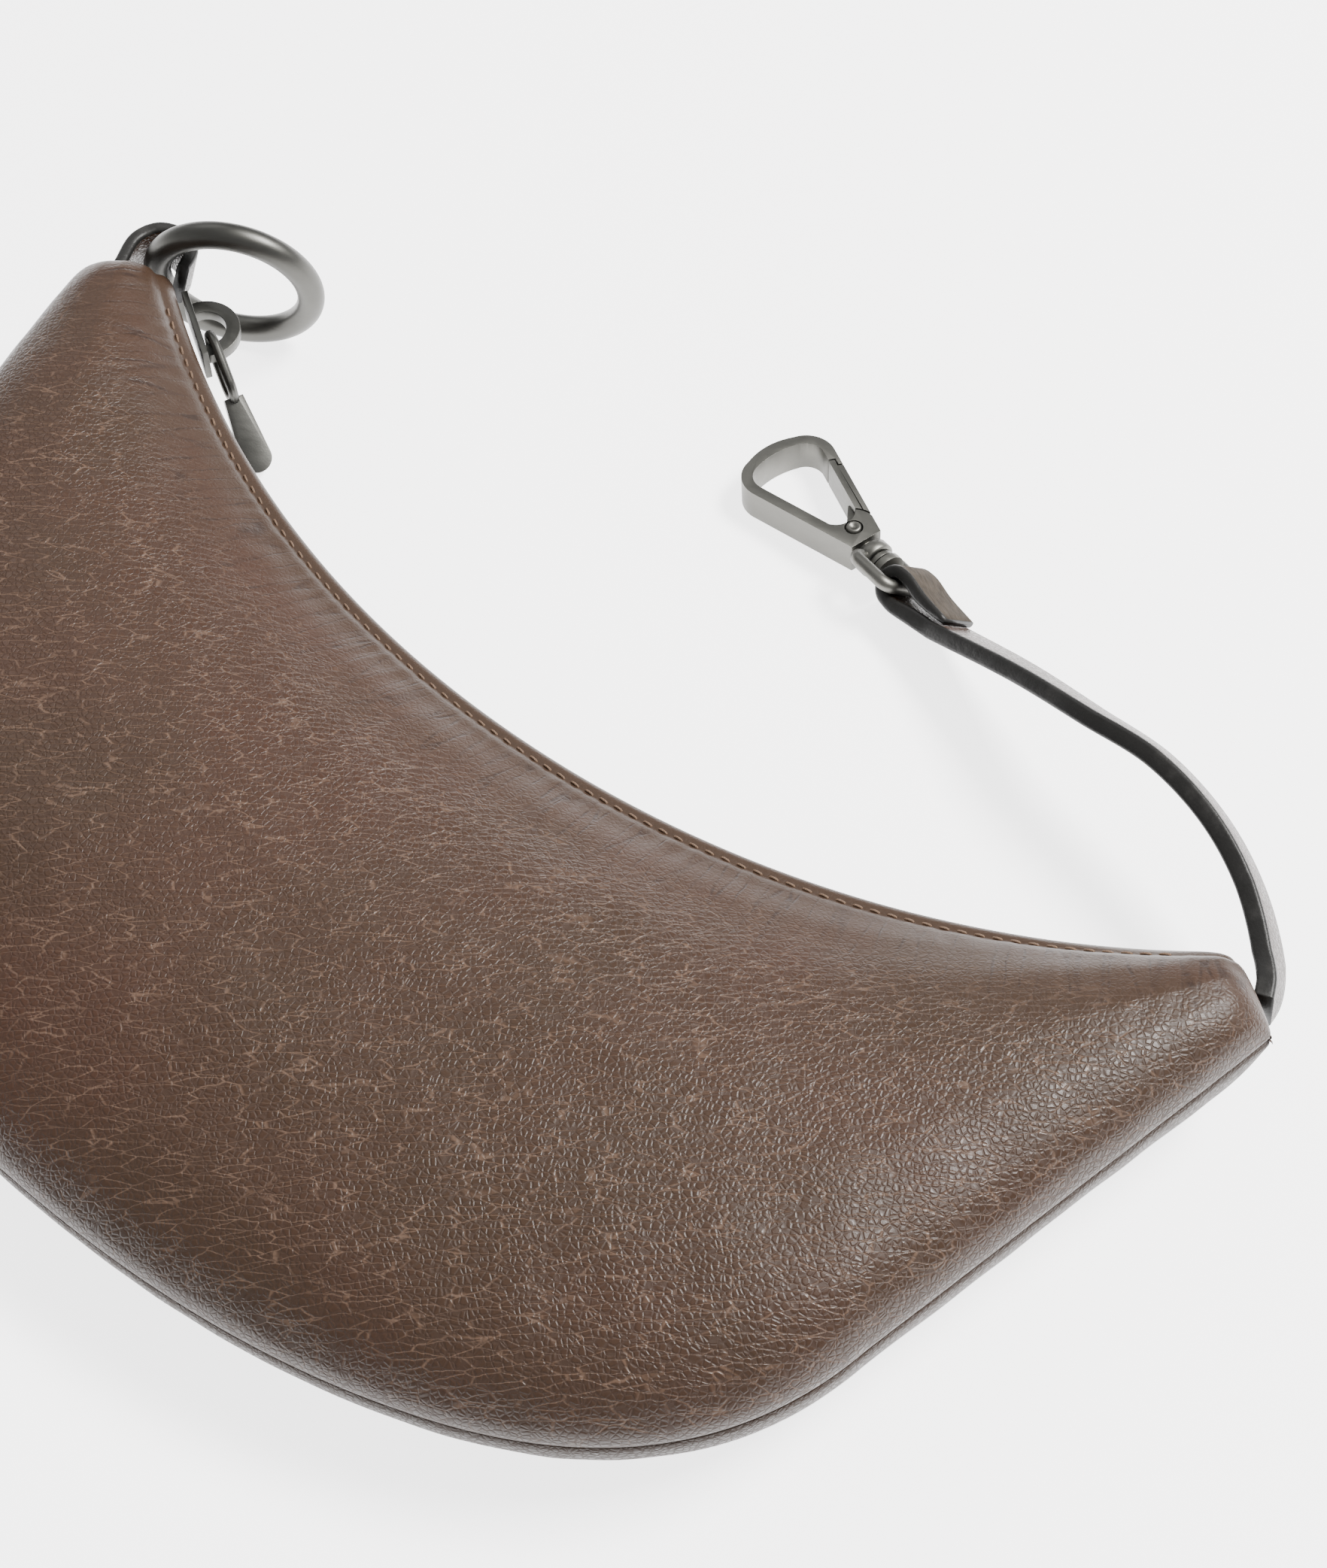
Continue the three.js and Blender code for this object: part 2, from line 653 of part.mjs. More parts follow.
function strapGeometry() {
  const across = new THREE.Vector3(0, 0, 1).transformDirection(eyePlace);
  const stations = foldStations().map(({ x, y, thickness }) => ({
    centre: new THREE.Vector3(x, y, 0).applyMatrix4(eyePlace),
    wide: across.clone(),
    thickness,
  }));
  const joint = stations[0].centre;
  const routePoints = STRAP.route.map(([x, y, z]) => new THREE.Vector3(x, y, z));
  const curve = new THREE.CatmullRomCurve3([...routePoints, joint], false, 'centripetal');
  const leans = [...STRAP.route.map((row) => row[3]), SWIVEL.lean];
  const steps = 34;
  const run = Array.from({ length: steps }, (_, i) => {
    const share = i / steps;
    const place = share * (leans.length - 1);
    const low = Math.floor(place);
    const lean = radians(THREE.MathUtils.lerp(leans[low], leans[low + 1], place - low));
    const along = curve.getTangent(share);
    const outward = new THREE.Vector3(along.y, -along.x, 0).normalize();
    const upright = new THREE.Vector3(0, 0, Math.cos(lean)).addScaledVector(outward, -Math.sin(lean));
    const wide = upright.addScaledVector(along, -upright.dot(along)).normalize();
    return { centre: curve.getPoint(share), wide, thickness: STRAP.thickness };
  });
  const all = [...run, ...stations];
  const sections = all.map((station, i) => {
    const before = all[Math.max(i - 1, 0)].centre;
    const after = all[Math.min(i + 1, all.length - 1)].centre;
    const out = after.clone().sub(before).cross(station.wide).normalize().negate();
    return stripSection(station.centre, out, station.wide, station.thickness, STRAP.width);
  });
  return loft(sections, false);
}

const pouch = new THREE.Group();
pouch.add(
  named('front_panel', panel(FRONT_SECTION, 1), COLOURS.leather, 0, 0.5),
  named('back_panel', panel(BACK_SECTION, -1), COLOURS.leatherBack, 0, 0.55),
  named('zip_tape', zipBand(ZIP.tapeInset, ZIP.tapeThickness, ZIP.tapeHeight), COLOURS.tape, 0, 0.85),
  named('zip_chain', zipBand(ZIP.tapeInset - GAP - ZIP.chainDepth, ZIP.chainDepth, ZIP.chainHeight), COLOURS.gunmetal, 0.85, 0.4),
  named('ring_loop', loopGeometry(), COLOURS.edge, 0, 0.6),
  named('strap', strapGeometry(), COLOURS.edge, 0, 0.6),
  ringMesh(),
  sliderGroup(),
  hookGroup(),
);

// The origin goes to the middle of the footprint, on the surface that the pouch lies on.
pouch.updateMatrixWorld(true);
const bounds = new THREE.Box3().setFromObject(pouch, true);
pouch.position.set(-(bounds.min.x + bounds.max.x) / 2, -(bounds.min.y + bounds.max.y) / 2, -bounds.min.z);
pouch.updateMatrixWorld(true);

export default pouch;
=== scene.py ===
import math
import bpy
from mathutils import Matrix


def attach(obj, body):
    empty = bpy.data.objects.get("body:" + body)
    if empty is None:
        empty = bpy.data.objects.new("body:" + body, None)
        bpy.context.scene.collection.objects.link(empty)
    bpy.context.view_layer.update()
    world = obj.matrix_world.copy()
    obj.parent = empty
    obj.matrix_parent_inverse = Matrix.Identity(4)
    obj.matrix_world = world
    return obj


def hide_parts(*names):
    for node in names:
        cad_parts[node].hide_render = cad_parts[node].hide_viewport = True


bl_info = {
    "name": "Crescent Pouch",
    "version": (1, 0, 0),
    "blender": (4, 5, 0),
    "location": "View3D > Sidebar > Pouch",
    "description": "Dresses a crescent leather pouch with an O-ring, a strap and a snap hook",
    "category": "Object",
}

import bmesh
import bpy
import numpy as np
from bpy.props import FloatProperty, FloatVectorProperty, PointerProperty
from mathutils import Matrix, Vector

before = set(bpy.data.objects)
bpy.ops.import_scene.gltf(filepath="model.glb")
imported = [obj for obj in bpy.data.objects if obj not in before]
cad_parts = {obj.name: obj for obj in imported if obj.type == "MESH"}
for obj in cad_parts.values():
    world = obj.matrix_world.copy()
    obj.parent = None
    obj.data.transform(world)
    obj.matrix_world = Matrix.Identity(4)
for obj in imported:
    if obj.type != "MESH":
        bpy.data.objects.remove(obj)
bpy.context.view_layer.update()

MM = 0.001
# Where the drawing's origin lies in the frame, in millimetres.
DRAWING = Vector((0.4556, 8.4381, 0.0353))
# Clearance between neighbouring pieces, in millimetres.
GAP = 0.3

# Direction in which the grain's pale lines run, in degrees from the zip's length.
GRAIN_TURN = 39.0

# Outline and height of the leather, in millimetres.
ZIP_HALF, ZIP_RISE = 107.5, 33.5
TIP_HALF, TIP_DROP = 119.7, 9.0
DEPTH = 102.0
BOTTOM_FLAT, BOTTOM_HALF, BOTTOM_RISE = 34.2, 60.0, 9.4
CORNER_HALF, CORNER_RISE = 96.5, 22.3
SIDE_HALF, SIDE_RISE = 102.3, 54.0
SEAM_HEIGHT, ZIP_HEIGHT, TIP_LIFT = 16.0, 12.3, 4.6
TOP_HEIGHT, TIP_TOP_HEIGHT = 30.5, 28.0
TIP_UNDERSIDE, FLAT_SHARE = 8.0, 0.45
END_WALL_SHARE, END_WALL_POWER = 0.94, 2.6
BORDER = 3.45
FRONT_SECTION = [(0, 0), (0.05, 0.2), (0.13, 0.5), (0.27, 0.82), (0.46, 1),
                 (0.66, 0.985), (0.83, 0.83), (0.93, 0.6), (0.985, 0.28), (1, 0)]
BACK_SECTION = [(0, 0), (0.04, 0.25), (0.12, 0.68), (0.24, 0.94), (0.34, 1),
                (0.74, 1), (0.87, 0.92), (0.95, 0.7), (0.99, 0.35), (1, 0)]

ZIP_RADIUS = (ZIP_HALF ** 2 + ZIP_RISE ** 2) / (2 * ZIP_RISE)
ZIP_HALF_ANGLE = math.asin(ZIP_HALF / ZIP_RADIUS)

# O-ring and its loop, in millimetres and degrees.
RING_RADIUS, RING_WIRE = 13.6, 4.8
RING_PLACE = (-101.9, 41.8)
RING_TURN, RING_LEAN = 31.0, 9.0
LOOP_HEIGHT, LOOP_WIDTH, LOOP_THICKNESS, LOOP_LEAN = 18.4, 9.5, 2.2, 17.0
LOOP_ROUTE = [(-116.4, 27.9), (-118.8, 34.4), (-117.4, 38.5), (-113.5, 40), (-109.2, 38.4), (-107.1, 34)]

# Hook, eye and strap, in millimetres and degrees.
HOOK_PIVOT = (12.1, 71.5, 4.7542)
HOOK_AZIMUTH, HOOK_TILT = -15.5, 4.5
EYE_TOP, EYE_END, EYE_ROD, EYE_HALF, EYE_CORNER, EYE_BOSS, NECK = 5.5, 14.2, 2.4, 5.7, 1.8, 3.3, 1.9
EYE_LEAN = 50.0
RIVET_RADIUS, HOOK_THICKNESS = 1.3, 5.8
STRAP_WIDTH, STRAP_THICKNESS, FOLD_THICKNESS, STRAP_END, TURNED_BACK = 8.4, 3.0, 2.2, 1.2, 12.0
STRAP_ROUTE = [
    (115.5, 29.7, 17.4, 6), (114.6, 33, 17.6, 16), (111.8, 37.3, 17.9, 28), (103.7, 44.9, 19.5, 30),
    (93.7, 50.5, 21.2, 34), (81.4, 54.4, 21.5, 38), (67.9, 56.6, 18.8, 42), (53, 60.4, 13.4, 46),
]

# Camera of the photograph, in the drawing: place in millimetres, angles in degrees.
CAMERA_PLACE = (164.9, -168.1, 349.5)
CAMERA_ELEVATION, CAMERA_AZIMUTH = 56.0, 39.0
FOCAL_PIXELS, IMAGE_HEIGHT, SENSOR = 3500.0, 2085.0, 36.0


def colour(name, description, default):
    return FloatVectorProperty(name=name, description=description, subtype="COLOR", size=3,
                               min=0, max=1, default=default)


def amount(name, description, default, low=0.0, high=10.0):
    return FloatProperty(name=name, description=description, default=default, min=low, max=high)


def length(name, description, default):
    return FloatProperty(name=name, description=description, default=default, min=0,
                         unit="LENGTH", precision=5)


class LeatherSettings(bpy.types.PropertyGroup):
    brown: colour("Brown", "Main colour of the grain side", (0.050, 0.0235, 0.0145))
    olive: colour("Olive", "Second colour, in soft patches", (0.041, 0.0228, 0.0135))
    # Painted shade: this colour darkens the crevices round the grain's cells and the puckers' creases; it
    # also gives random dark flecks, the leather's own tone.
    crevice_shade_and_fleck: colour("Crease", "Colour inside the grain's lines", (0.018, 0.0085, 0.0055))
    rub: colour("Rub", "Colour of the pale lines of the grain", (0.17, 0.105, 0.072))
    back: colour("Back", "Colour of the back panel", (0.036, 0.022, 0.015))
    flesh: colour("Flesh side", "Colour of the strap's rough outer face", (0.055, 0.045, 0.036))
    paint: colour("Edge paint", "Colour of the painted edges", (0.014, 0.0135, 0.0128))
    thread: colour("Thread", "Colour of the stitching", (0.10, 0.062, 0.04))
    cell: length("Grain cell", "Width of one cell of the grain", 0.00095)
    pitch: length("Stitch pitch", "Distance from stitch to stitch", 0.0026)
    stitch_line: length("Stitch line", "Distance of the stitches from the zip edge", 0.0028)
    roughness: amount("Roughness", "Roughness of the grain side", 0.31, 0, 1)


class MetalSettings(bpy.types.PropertyGroup):
    dark: colour("Dark metal", "Colour of the ring, slider and pull", (0.082, 0.081, 0.075))
    grey: colour("Grey metal", "Colour of the hook and eye", (0.125, 0.123, 0.112))
    roughness: amount("Roughness", "Roughness of the plating", 0.38, 0, 1)
    bevel: length("Bevel", "Rounding of the hardware's edges", 0.00028)


class StageSettings(bpy.types.PropertyGroup):
    floor: colour("Floor", "Colour of the surface under the pouch", (0.80, 0.795, 0.80))
    glow: amount("Floor glow", "Strength of the light from the surface itself", 4.0, 0, 10)
    sky: amount("Sky light", "Strength of the even light from all sides", 0.56, 0, 10)
    key: amount("Key light", "Power of the large light above the far right, in watts", 34.0, 0, 500)
    fill: amount("Fill light", "Power of the fill light on the left, in watts", 1.5, 0, 500)


class Value:
    """One socket of a finish, with arithmetic that adds Math nodes."""

    def __init__(self, finish, socket):
        self.finish = finish
        self.socket = socket

    def maths(self, operation, *values):
        inputs = dict(enumerate(values))
        return self.finish.node("ShaderNodeMath", {"operation": operation}, inputs)

    def __add__(self, other):
        return self.maths("ADD", self, other)

    def __sub__(self, other):
        return self.maths("SUBTRACT", self, other)

    def __rsub__(self, other):
        return self.maths("SUBTRACT", other, self)

    def __mul__(self, other):
        return self.maths("MULTIPLY", self, other)

    def __pow__(self, other):
        return self.maths("POWER", self, other)

    __radd__ = __add__
    __rmul__ = __mul__

    def largest(self, other):
        return self.maths("MAXIMUM", self, other)

    def ramp(self, low, high):
        inputs = {"Value": self, "From Min": low, "From Max": high}
        return self.finish.node("ShaderNodeMapRange", {"interpolation_type": "SMOOTHSTEP"}, inputs)


class Finish:
    """A material with one Principled shader, built from expressions."""

    def __init__(self, name, **constants):
        self.material = bpy.data.materials.new(name)
        self.material.use_nodes = True
        self.tree = self.material.node_tree
        self.tree.nodes.clear()
        end = self.tree.nodes.new("ShaderNodeOutputMaterial")
        self.shader = self.tree.nodes.new("ShaderNodeBsdfPrincipled")
        self.tree.links.new(self.shader.outputs[0], end.inputs["Surface"])
        for key, value in constants.items():
            self.set(key.replace("_", " ").title().replace("Ior", "IOR"), value)
        self.place = self.node("ShaderNodeTexCoord", {}, {}, "Object")

    def feed(self, socket, value):
        if isinstance(value, Value):
            self.tree.links.new(value.socket, socket)
        elif hasattr(socket.default_value, "__len__"):
            parts = tuple(value) if hasattr(value, "__len__") else (value,) * 3
            socket.default_value = parts + (1.0,) * (len(socket.default_value) - len(parts))
        else:
            socket.default_value = value

    def node(self, kind, settings, values, output=0):
        made = self.tree.nodes.new(kind)
        for key, value in settings.items():
            setattr(made, key, value)
        for key, value in values.items():
            self.feed(made.inputs[key], value)
        return Value(self, made.outputs[output])

    def set(self, name, value):
        self.feed(self.shader.inputs[name], value)

    def noise(self, scale, detail=3.0, rough=0.55, at=None):
        return self.node("ShaderNodeTexNoise", {}, {
            "Vector": at or self.place, "Scale": scale, "Detail": detail, "Roughness": rough})

    def warped(self, scale, reach):
        inputs = {"Vector": self.place, "Scale": scale, "Detail": 2.0}
        shift = self.node("ShaderNodeTexNoise", {}, inputs, "Color")
        centred = self.node("ShaderNodeVectorMath", {"operation": "SUBTRACT"}, {0: shift, 1: (0.5, 0.5, 0.5)})
        short = self.node("ShaderNodeVectorMath", {"operation": "SCALE"}, {0: centred, "Scale": reach})
        return self.node("ShaderNodeVectorMath", {"operation": "ADD"}, {0: self.place, 1: short})

    def stretched(self, lengths, turn=0.0, at=None):
        """Coordinates in which a pattern is drawn out by the lengths along axes turned about Z."""
        return self.node("ShaderNodeMapping", {"vector_type": "TEXTURE"}, {
            "Vector": at or self.place, "Scale": lengths, "Rotation": (0, 0, math.radians(turn))})

    def cracks(self, scale, at):
        inputs = {"Vector": at, "Scale": scale}
        return self.node("ShaderNodeTexVoronoi", {"feature": "DISTANCE_TO_EDGE"}, inputs)

    def mixed(self, factor, first, second):
        made = self.tree.nodes.new("ShaderNodeMix")
        made.data_type = "RGBA"
        for name, value in (("Factor_Float", factor), ("A_Color", first), ("B_Color", second)):
            self.feed(next(s for s in made.inputs if s.identifier == name), value)
        return Value(self, next(s for s in made.outputs if s.identifier == "Result_Color"))

    def bump(self, height, depth, strength):
        inputs = {"Height": height, "Distance": depth, "Strength": strength}
        self.set("Normal", self.node("ShaderNodeBump", {}, inputs))


def zip_frame(finish):
    """Run along the zip's arc and distance from it, both in metres."""
    x = finish.node("ShaderNodeSeparateXYZ", {}, {0: finish.place}, 0) - DRAWING.x * MM
    y = (ZIP_RADIUS + DRAWING.y) * MM - finish.node("ShaderNodeSeparateXYZ", {}, {0: finish.place}, 1)
    reach = (x * x + y * y) ** 0.5
    return x.maths("ARCTAN2", x, y) * (ZIP_RADIUS * MM), reach - ZIP_RADIUS * MM


def leather_finish(name, settings, tint, worn):
    finish = Finish(name, specular_ior_level=0.12 + 0.18 * worn)
    cell = 1 / settings.cell
    run, depth = zip_frame(finish)
    inner = depth.ramp(0.004, 0.026)
    wavy = finish.warped(420, 0.0007)
    drawn = finish.stretched((5.0, 1.0, 1.8), GRAIN_TURN, wavy)
    lines = 1 - finish.cracks(cell * 0.8, drawn).ramp(0.005, 0.06)
    pebbles = finish.cracks(cell, finish.warped(300, 0.0009)).ramp(0.0, 0.24)
    fine = finish.noise(3200, 2.0)
    broken = finish.noise(330, 3.0, 0.6, finish.stretched((2.0, 1.0, 1.0), GRAIN_TURN)).ramp(0.42, 0.62)
    patches = finish.noise(22, 3.0, 0.5).ramp(0.3, 0.7)
    bent = run + 0.0012 * finish.noise(160, 2.0)
    across = finish.node("ShaderNodeCombineXYZ", {}, {"X": bent, "Y": depth * 0.13})
    pulled = (1 - finish.cracks(330, across).ramp(0.01, 0.07)) * broken.largest(0.35)
    creases = pulled * depth.ramp(0.003, 0.006) * (1 - depth.ramp(0.009, 0.024))
    olive = patches.largest(1 - depth.ramp(0.002, 0.014))
    base = finish.mixed(olive, tint, settings.olive)
    # Painted shade: the crevices round each pebble of the grain are darkened.
    pebble_edge_shade = finish.mixed(0.22 * (1 - pebbles) * inner, base, settings.crevice_shade_and_fleck)
    mottled = finish.mixed(0.2 * finish.noise(1500, 3.0).ramp(0.45, 0.75), pebble_edge_shade, settings.crevice_shade_and_fleck)
    # Painted shade: the valleys of the puckers near the zip are darkened.
    pucker_crease_shade = finish.mixed(0.75 * creases, mottled, settings.crevice_shade_and_fleck)
    pale = 0.5 * lines * (0.4 + 0.6 * broken) * inner * worn
    finish.set("Base Color", finish.mixed(pale, pucker_crease_shade, settings.rub))
    dull = settings.roughness + 0.12 + 0.2 * (1 - pebbles) * inner - 0.12 * inner
    finish.set("Roughness", dull + 0.12 * (fine - 0.5))
    relief = pebbles * (0.12 + 0.4 * inner) - lines * inner * 0.3 - creases * 0.35
    finish.bump(relief + fine * 0.12, 0.00015, 0.75)
    return finish.material


def strip_finish(name, settings):
    finish = Finish(name, specular_ior_level=0.4)
    grain = finish.cracks(1 / settings.cell, finish.warped(200, 0.0015)).ramp(0.0, 0.2)
    tone = finish.noise(90, 3.0).ramp(0.3, 0.7)
    base = finish.mixed(tone, settings.brown, settings.olive)
    # Painted shade: the crevices round each cell of the grain are darkened.
    finish.set("Base Color", finish.mixed(0.45 * (1 - grain), base, settings.crevice_shade_and_fleck))
    finish.set("Roughness", settings.roughness + 0.12 * (1 - grain))
    finish.bump(grain + finish.noise(1800) * 0.4, 0.00012, 0.6)
    return finish.material


def flesh_finish(name, settings):
    finish = Finish(name, specular_ior_level=0.08)
    fibre = finish.noise(1300, 4.0, 0.65, finish.stretched((4.0, 1.0, 1.6), -38))
    cloud = finish.noise(260, 3.0)
    pale = tuple(min(1.0, part * 1.35) for part in settings.flesh)
    shade = tuple(part * 0.55 for part in settings.flesh)
    toned = finish.mixed(cloud.ramp(0.35, 0.7), settings.flesh, pale)
    finish.set("Base Color", finish.mixed(0.7 * (1 - fibre.ramp(0.3, 0.62)), toned, shade))
    finish.set("Roughness", 0.72 + 0.15 * (fibre - 0.5))
    finish.bump(fibre, 0.0004, 0.7)
    return finish.material


def paint_finish(name, settings):
    finish = Finish(name, specular_ior_level=0.25)
    ripple = finish.noise(420, 3.0)
    rubbed = finish.noise(150, 4.0, 0.65).ramp(0.52, 0.75)
    pale = tuple(part * 2.4 for part in settings.paint)
    finish.set("Base Color", finish.mixed(rubbed * 0.7, settings.paint, pale))
    finish.set("Roughness", 0.4 + 0.25 * (ripple - 0.5))
    finish.bump(ripple + 0.3 * finish.noise(2400), 0.00018, 0.6)
    return finish.material


def metal_finish(name, tint, roughness):
    finish = Finish(name, metallic=1.0)
    brushed = finish.noise(900, 3.0, 0.6, finish.stretched((6.0, 1.0, 1.0), 25))
    cloud = finish.noise(120, 3.0).ramp(0.35, 0.7)
    worn = tuple(min(1.0, part * 1.28) for part in tint)
    finish.set("Base Color", finish.mixed(cloud * 0.5 + 0.2 * brushed, tint, worn))
    finish.set("Roughness", roughness + 0.14 * (brushed - 0.5) + 0.05 * cloud)
    finish.bump(brushed + 0.6 * finish.noise(3600, 1.0), 0.00003, 0.35)
    return finish.material


def thread_finish(name, tint):
    finish = Finish(name, specular_ior_level=0.3)
    twist = finish.node("ShaderNodeTexWave", {"bands_direction": "DIAGONAL"}, {
        "Vector": finish.place, "Scale": 2200, "Distortion": 1.2}, 1)
    pale = tuple(part * 1.9 for part in tint)
    finish.set("Base Color", finish.mixed(twist, tint, pale))
    finish.set("Roughness", 0.6 + 0.2 * (twist - 0.5))
    finish.bump(twist, 0.00008, 0.6)
    return finish.material


def tape_finish(name):
    finish = Finish(name, specular_ior_level=0.2)
    inputs = {"Vector": finish.place, "Scale": 620, "Distortion": 0.6}
    warp = finish.node("ShaderNodeTexWave", {"bands_direction": "X"}, inputs, 1)
    weft = finish.node("ShaderNodeTexWave", {"bands_direction": "Z"}, inputs, 1)
    weave = warp.largest(weft)
    finish.set("Base Color", finish.mixed(weave, (0.018, 0.012, 0.009), (0.075, 0.05, 0.036)))
    finish.set("Roughness", 0.8 + 0.1 * (weave - 0.5))
    finish.bump(weave, 0.00015, 0.7)
    return finish.material


def catmull(points, dense):
    """Centripetal spline through the points, sampled evenly in its parameter."""
    p = [np.array(point, float) for point in points]
    p = [2 * p[0] - p[1]] + p + [2 * p[-1] - p[-2]]
    out = []
    for step in range(dense + 1):
        place = (len(points) - 1) * step / dense
        k = min(int(place), len(points) - 2)
        w = place - k
        a, b, c, d = p[k], p[k + 1], p[k + 2], p[k + 3]
        t0, t1, t2 = (max(np.linalg.norm(n - m), 1e-4) ** 0.5 for m, n in ((a, b), (b, c), (c, d)))
        m1 = ((b - a) / t0 - (c - a) / (t0 + t1) + (c - b) / t1) * t1
        m2 = ((c - b) / t1 - (d - b) / (t1 + t2) + (d - c) / t2) * t1
        square, cube = -3 * b + 3 * c - 2 * m1 - m2, 2 * b - 2 * c + m1 + m2
        out.append(b + m1 * w + square * w ** 2 + cube * w ** 3)
    return np.array(out)


def even(points, count):
    """The same line with evenly spaced points."""
    steps = np.linalg.norm(np.diff(points, axis=0), axis=1)
    run = np.concatenate([[0], np.cumsum(steps)])
    places = np.linspace(0, run[-1], count)
    return np.stack([np.interp(places, run, points[:, axis]) for axis in range(points.shape[1])], axis=1)


def seam_line():
    bottom = -DEPTH
    middle, side = (BOTTOM_HALF, bottom + BOTTOM_RISE), (SIDE_HALF, bottom + SIDE_RISE)
    corners = [
        np.array([(0, bottom), (BOTTOM_FLAT, bottom), middle]),
        np.array([middle, (CORNER_HALF, bottom + CORNER_RISE), side]),
    ]
    t = np.linspace(0, 1, 120)[:, None]
    parts = [(1 - t) ** 2 * a + 2 * t * (1 - t) * b + t ** 2 * c for a, b, c in corners]
    end = np.array([(TIP_HALF, ZIP_RISE - TIP_DROP)])
    return even(np.concatenate(parts + [end]), 400)


SEAM = seam_line()


def seam_place(share):
    """Seam's point at a share of the pouch's length, by mirroring its right half."""
    places = np.linspace(0, 1, len(SEAM))
    size = np.abs(share)
    return np.interp(size, places, SEAM[:, 0]) * np.sign(share), np.interp(size, places, SEAM[:, 1])


def zip_place(share, inset=0.0):
    angle = ZIP_HALF_ANGLE * np.asarray(share, float)
    radius = ZIP_RADIUS + inset
    return radius * np.sin(angle), ZIP_RADIUS - radius * np.cos(angle)


def middle_height(share, along):
    return ZIP_HEIGHT + (SEAM_HEIGHT - ZIP_HEIGHT) * along + TIP_LIFT * np.abs(share) ** 3


def crown_height(share, side):
    size = np.abs(share)
    if side > 0:
        return TOP_HEIGHT + (TIP_TOP_HEIGHT - TOP_HEIGHT) * size ** 3
    t = np.clip((size - FLAT_SHARE) / (1 - FLAT_SHARE), 0, 1)
    return TIP_UNDERSIDE * t * t * (3 - 2 * t)


def end_factor(share):
    beyond = np.clip((np.abs(share) - END_WALL_SHARE) / (1 - END_WALL_SHARE), 0, 1)
    return (1 - beyond ** END_WALL_POWER) ** (1 / END_WALL_POWER)


def leather_surface(share, along, side, section):
    """Outer face of a panel at shares of its length and depth, in drawing millimetres."""
    zip_x, zip_y = zip_place(share)
    seam_x, seam_y = seam_place(share)
    curve = catmull(section, 400)
    up = np.minimum(1, np.interp(along, curve[:, 0], curve[:, 1]))
    middle = middle_height(share, along)
    edge = BORDER * (1 - along) ** 4
    full = side * (crown_height(share, side) - middle) - GAP / 2
    lift = edge + (full - edge) * up
    height = middle + side * (GAP / 2 + lift * end_factor(share))
    x, y = zip_x + (seam_x - zip_x) * along, zip_y + (seam_y - zip_y) * along
    return np.stack([x, y, height], axis=-1)


def column_shares(columns, ends):
    inner = END_WALL_SHARE * np.linspace(-1, 1, columns)
    angle = math.pi / 2 * np.arange(1, ends + 1) / ends
    outer = END_WALL_SHARE + (1 - END_WALL_SHARE) * np.sin(angle) ** (2 / END_WALL_POWER)
    return np.concatenate([-outer[::-1], inner, outer])


def grid_normals(grid, side):
    across = np.gradient(grid, axis=0)
    down = np.gradient(grid, axis=1)
    normal = np.cross(across, down) * -side
    size = np.linalg.norm(normal, axis=-1, keepdims=True)
    return normal / np.maximum(size, 1e-9)


def ripple(x, y, scale, seed):
    """Smooth made-up relief between about -1 and 1, the same in each run."""
    rng = np.random.default_rng(seed)
    total = np.zeros_like(x)
    for _ in range(7):
        angle = rng.uniform(0, 2 * math.pi)
        phase = rng.uniform(0, 2 * math.pi)
        stretch = rng.uniform(0.6, 1.6)
        across = x * math.cos(angle) + y * math.sin(angle)
        total += np.sin(across * 2 * math.pi * stretch / scale + phase)
    return total / 3.2


# Rows of the turned hem: distance from the zip edge, and how far each one stands out, in millimetres.
HEM_ROWS = np.array([0, 0.25, 0.6, 1.1, 1.6, 2.1, 2.5, 2.8, 3.1, 3.5, 4.0, 4.8, 5.6, 6.8])
HEM_RELIEF = np.array([-1.15, -0.45, -0.1, 0.12, 0.17, 0.1, -0.12, -0.3, -0.28, -0.1, 0.05, 0.08, 0.04, 0])
# Widths and height of the puckers, and how far the leather tucks in at the seam, in millimetres.
PUCKER_WIDE, PUCKER_NARROW, PUCKER_HEIGHT = 4.2, 2.7, 0.15
TUCK = 0.7


